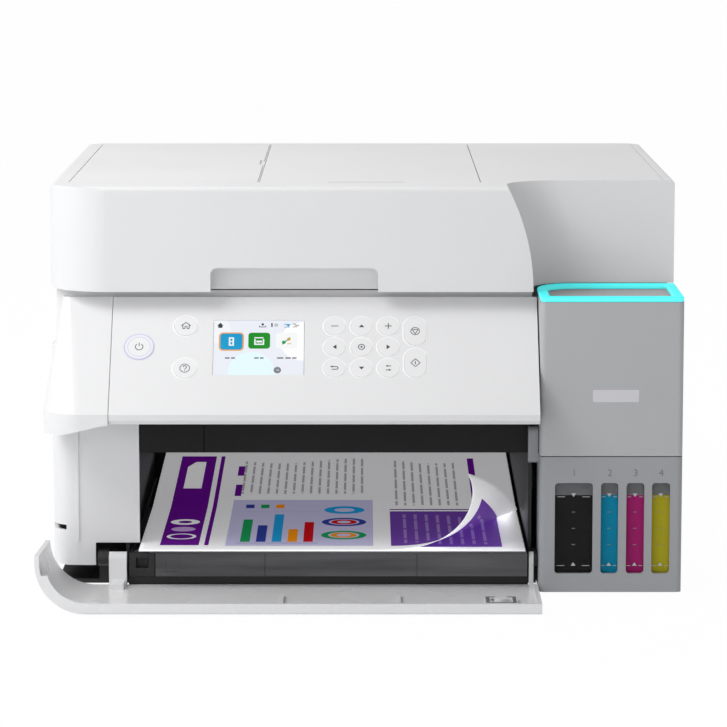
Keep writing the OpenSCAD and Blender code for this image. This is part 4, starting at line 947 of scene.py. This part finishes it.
# a thin dark plate on the lid's top: painted shade where the groove's shaded face would be, as the lid's
# mesh has no groove
lidGroove = platesOf("lidGroove", [outline], upFrom(lidTop - 0.03), 0.05)
keep(lidGroove, "lid", "white_shell", moulded("grooveShadeGrey", "#8e8f92", 0.5, 3000, 0.03, 0.02))


# screws on the back

screw = {"r": 3.2, "h": 1.4, "slot": 0.9, "x": 166.0, "z": 22.0, "rise": 108.0, "sides": 24}


def screwHead():
    # a round head with a cross slot that faces backwards
    work = bmesh.new()
    r, h, slot, sides = screw["r"], screw["h"], screw["slot"], screw["sides"]
    rings = []
    for radius, high in ((r, 0), (r, h * 0.55), (r * 0.86, h * 0.9), (slot * 1.5, h), (slot, h * 0.35)):
        ring = []
        for i in range(sides):
            lobe = 1.5 if i % 6 == 0 and radius <= slot * 1.5 else 1
            x, z = around(0, 0, radius * lobe, 360 * i / sides)
            ring.append(work.verts.new((x * mm, high * mm, z * mm)))
        rings.append(ring)
    for low, high in zip(rings, rings[1:]):
        for i in range(sides):
            j = (i + 1) % sides
            work.faces.new((low[i], low[j], high[j], high[i]))
    work.faces.new(rings[-1])
    work.faces.new(rings[0])
    bmesh.ops.recalc_face_normals(work, faces=work.faces)
    return fromWork("screwHead", work)


head = screwHead()
steel = palette["sheet_steel"]
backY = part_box("rear_cover")[1].y / mm + yMid
rows = [rowOf(f"screwRow{i}", head, 2, at(x, backY, screw["z"]), (0, 0, screw["rise"] * mm), steel)
        for i, x in enumerate((-screw["x"], screw["x"]))]
bpy.data.objects.remove(head)
keep(joined("rearScrews", rows), "base", "sheet_steel", steel)
print("latch, groove and screws made")


# floor, light and camera

studio = {
    "floor": ("#f0f1f2", "#f4f5f6"), "white": 0.98,  # the floor's tones and its share of pure white
    "world": 0.48,  # strength of the pale sky
    "lamps": [  # name, place, aim, width and height, watts
        ("keyLamp", (-0.78, -0.5, 1.05), (0, 0, 0.12), (0.7, 0.7), 9.2),
        ("fillLamp", (-0.7, -1.5, 0.42), (0, 0, 0.1), (1.0, 0.6), 2.4),
        ("backLamp", (-0.5, 0.9, 1.3), (-0.05, 0, 0.2), (1.2, 0.8), 5.5),
    ],
    "camera": (0.0, -2.0695, 0.4124), "pitch": 8.234, "focal": 173.315, "sensor": 36,
}


def floorFinish():
    # white to the camera, in gloss and through glass, and a plain pale floor to the light
    f = Finish("floorPale")
    cloud = f.noise(3, 2.0)
    plain = f.shader(Base_Color=f.mix(cloud, *[linear(tone) for tone in studio["floor"]]), Roughness=0.9)
    white = f.add("ShaderNodeEmission", None, {"Strength": 1.0})
    camera, gloss, through = [f.add("ShaderNodeLightPath", output=ray) for ray in
                              ("Is Camera Ray", "Is Glossy Ray", "Is Transmission Ray")]
    seen = camera + gloss + through > 0.5
    return f.finish(f.mixShader(seen * studio["white"], plain, white))


def paleWorld():
    # white to the camera and through glass, and an even pale sky to the light
    world = bpy.data.worlds.new("studio")
    world.use_nodes = True
    g = Graph(world.node_tree)
    camera, through = [g.add("ShaderNodeLightPath", output=ray) for ray in
                       ("Is Camera Ray", "Is Transmission Ray")]
    seen = g.add("ShaderNodeMath", {"operation": "MAXIMUM"}, {0: camera, 1: through})
    even = g.add("ShaderNodeBackground", None, {"Color": linear("#ffffff"), "Strength": studio["world"]})
    white = g.add("ShaderNodeBackground", None, {"Color": linear("#ffffff"), "Strength": 1.0})
    g.add("ShaderNodeOutputWorld", None, {0: g.mixShader(seen, even, white)})
    bpy.context.scene.world = world


def areaLamp(name, place, aim, size, power):
    lamp = bpy.data.lights.new(name, "AREA")
    lamp.shape = "RECTANGLE"
    lamp.size, lamp.size_y = size
    lamp.energy = power
    obj = newObject(name, lamp)
    obj.location = place
    obj.rotation_euler = (Vector(aim) - Vector(place)).to_track_quat("-Z", "Y").to_euler()


floor = meshOf("floor", [(-40, -40, 0), (40, -40, 0), (40, 40, 0), (-40, 40, 0)], [[0, 1, 2, 3]])
floor.data.materials.append(floorFinish())
paleWorld()
for lamp in studio["lamps"]:
    areaLamp(*lamp)

scene = bpy.context.scene
scene.view_settings.view_transform = "Standard"
camera = newObject("camera", bpy.data.cameras.new("camera"))
camera.data.lens = studio["focal"]
camera.data.sensor_width = studio["sensor"]
camera.data.clip_end = 20
camera.location = studio["camera"]
camera.rotation_euler = (math.radians(90 - studio["pitch"]), 0, 0)
scene.camera = camera
print("studio ready")
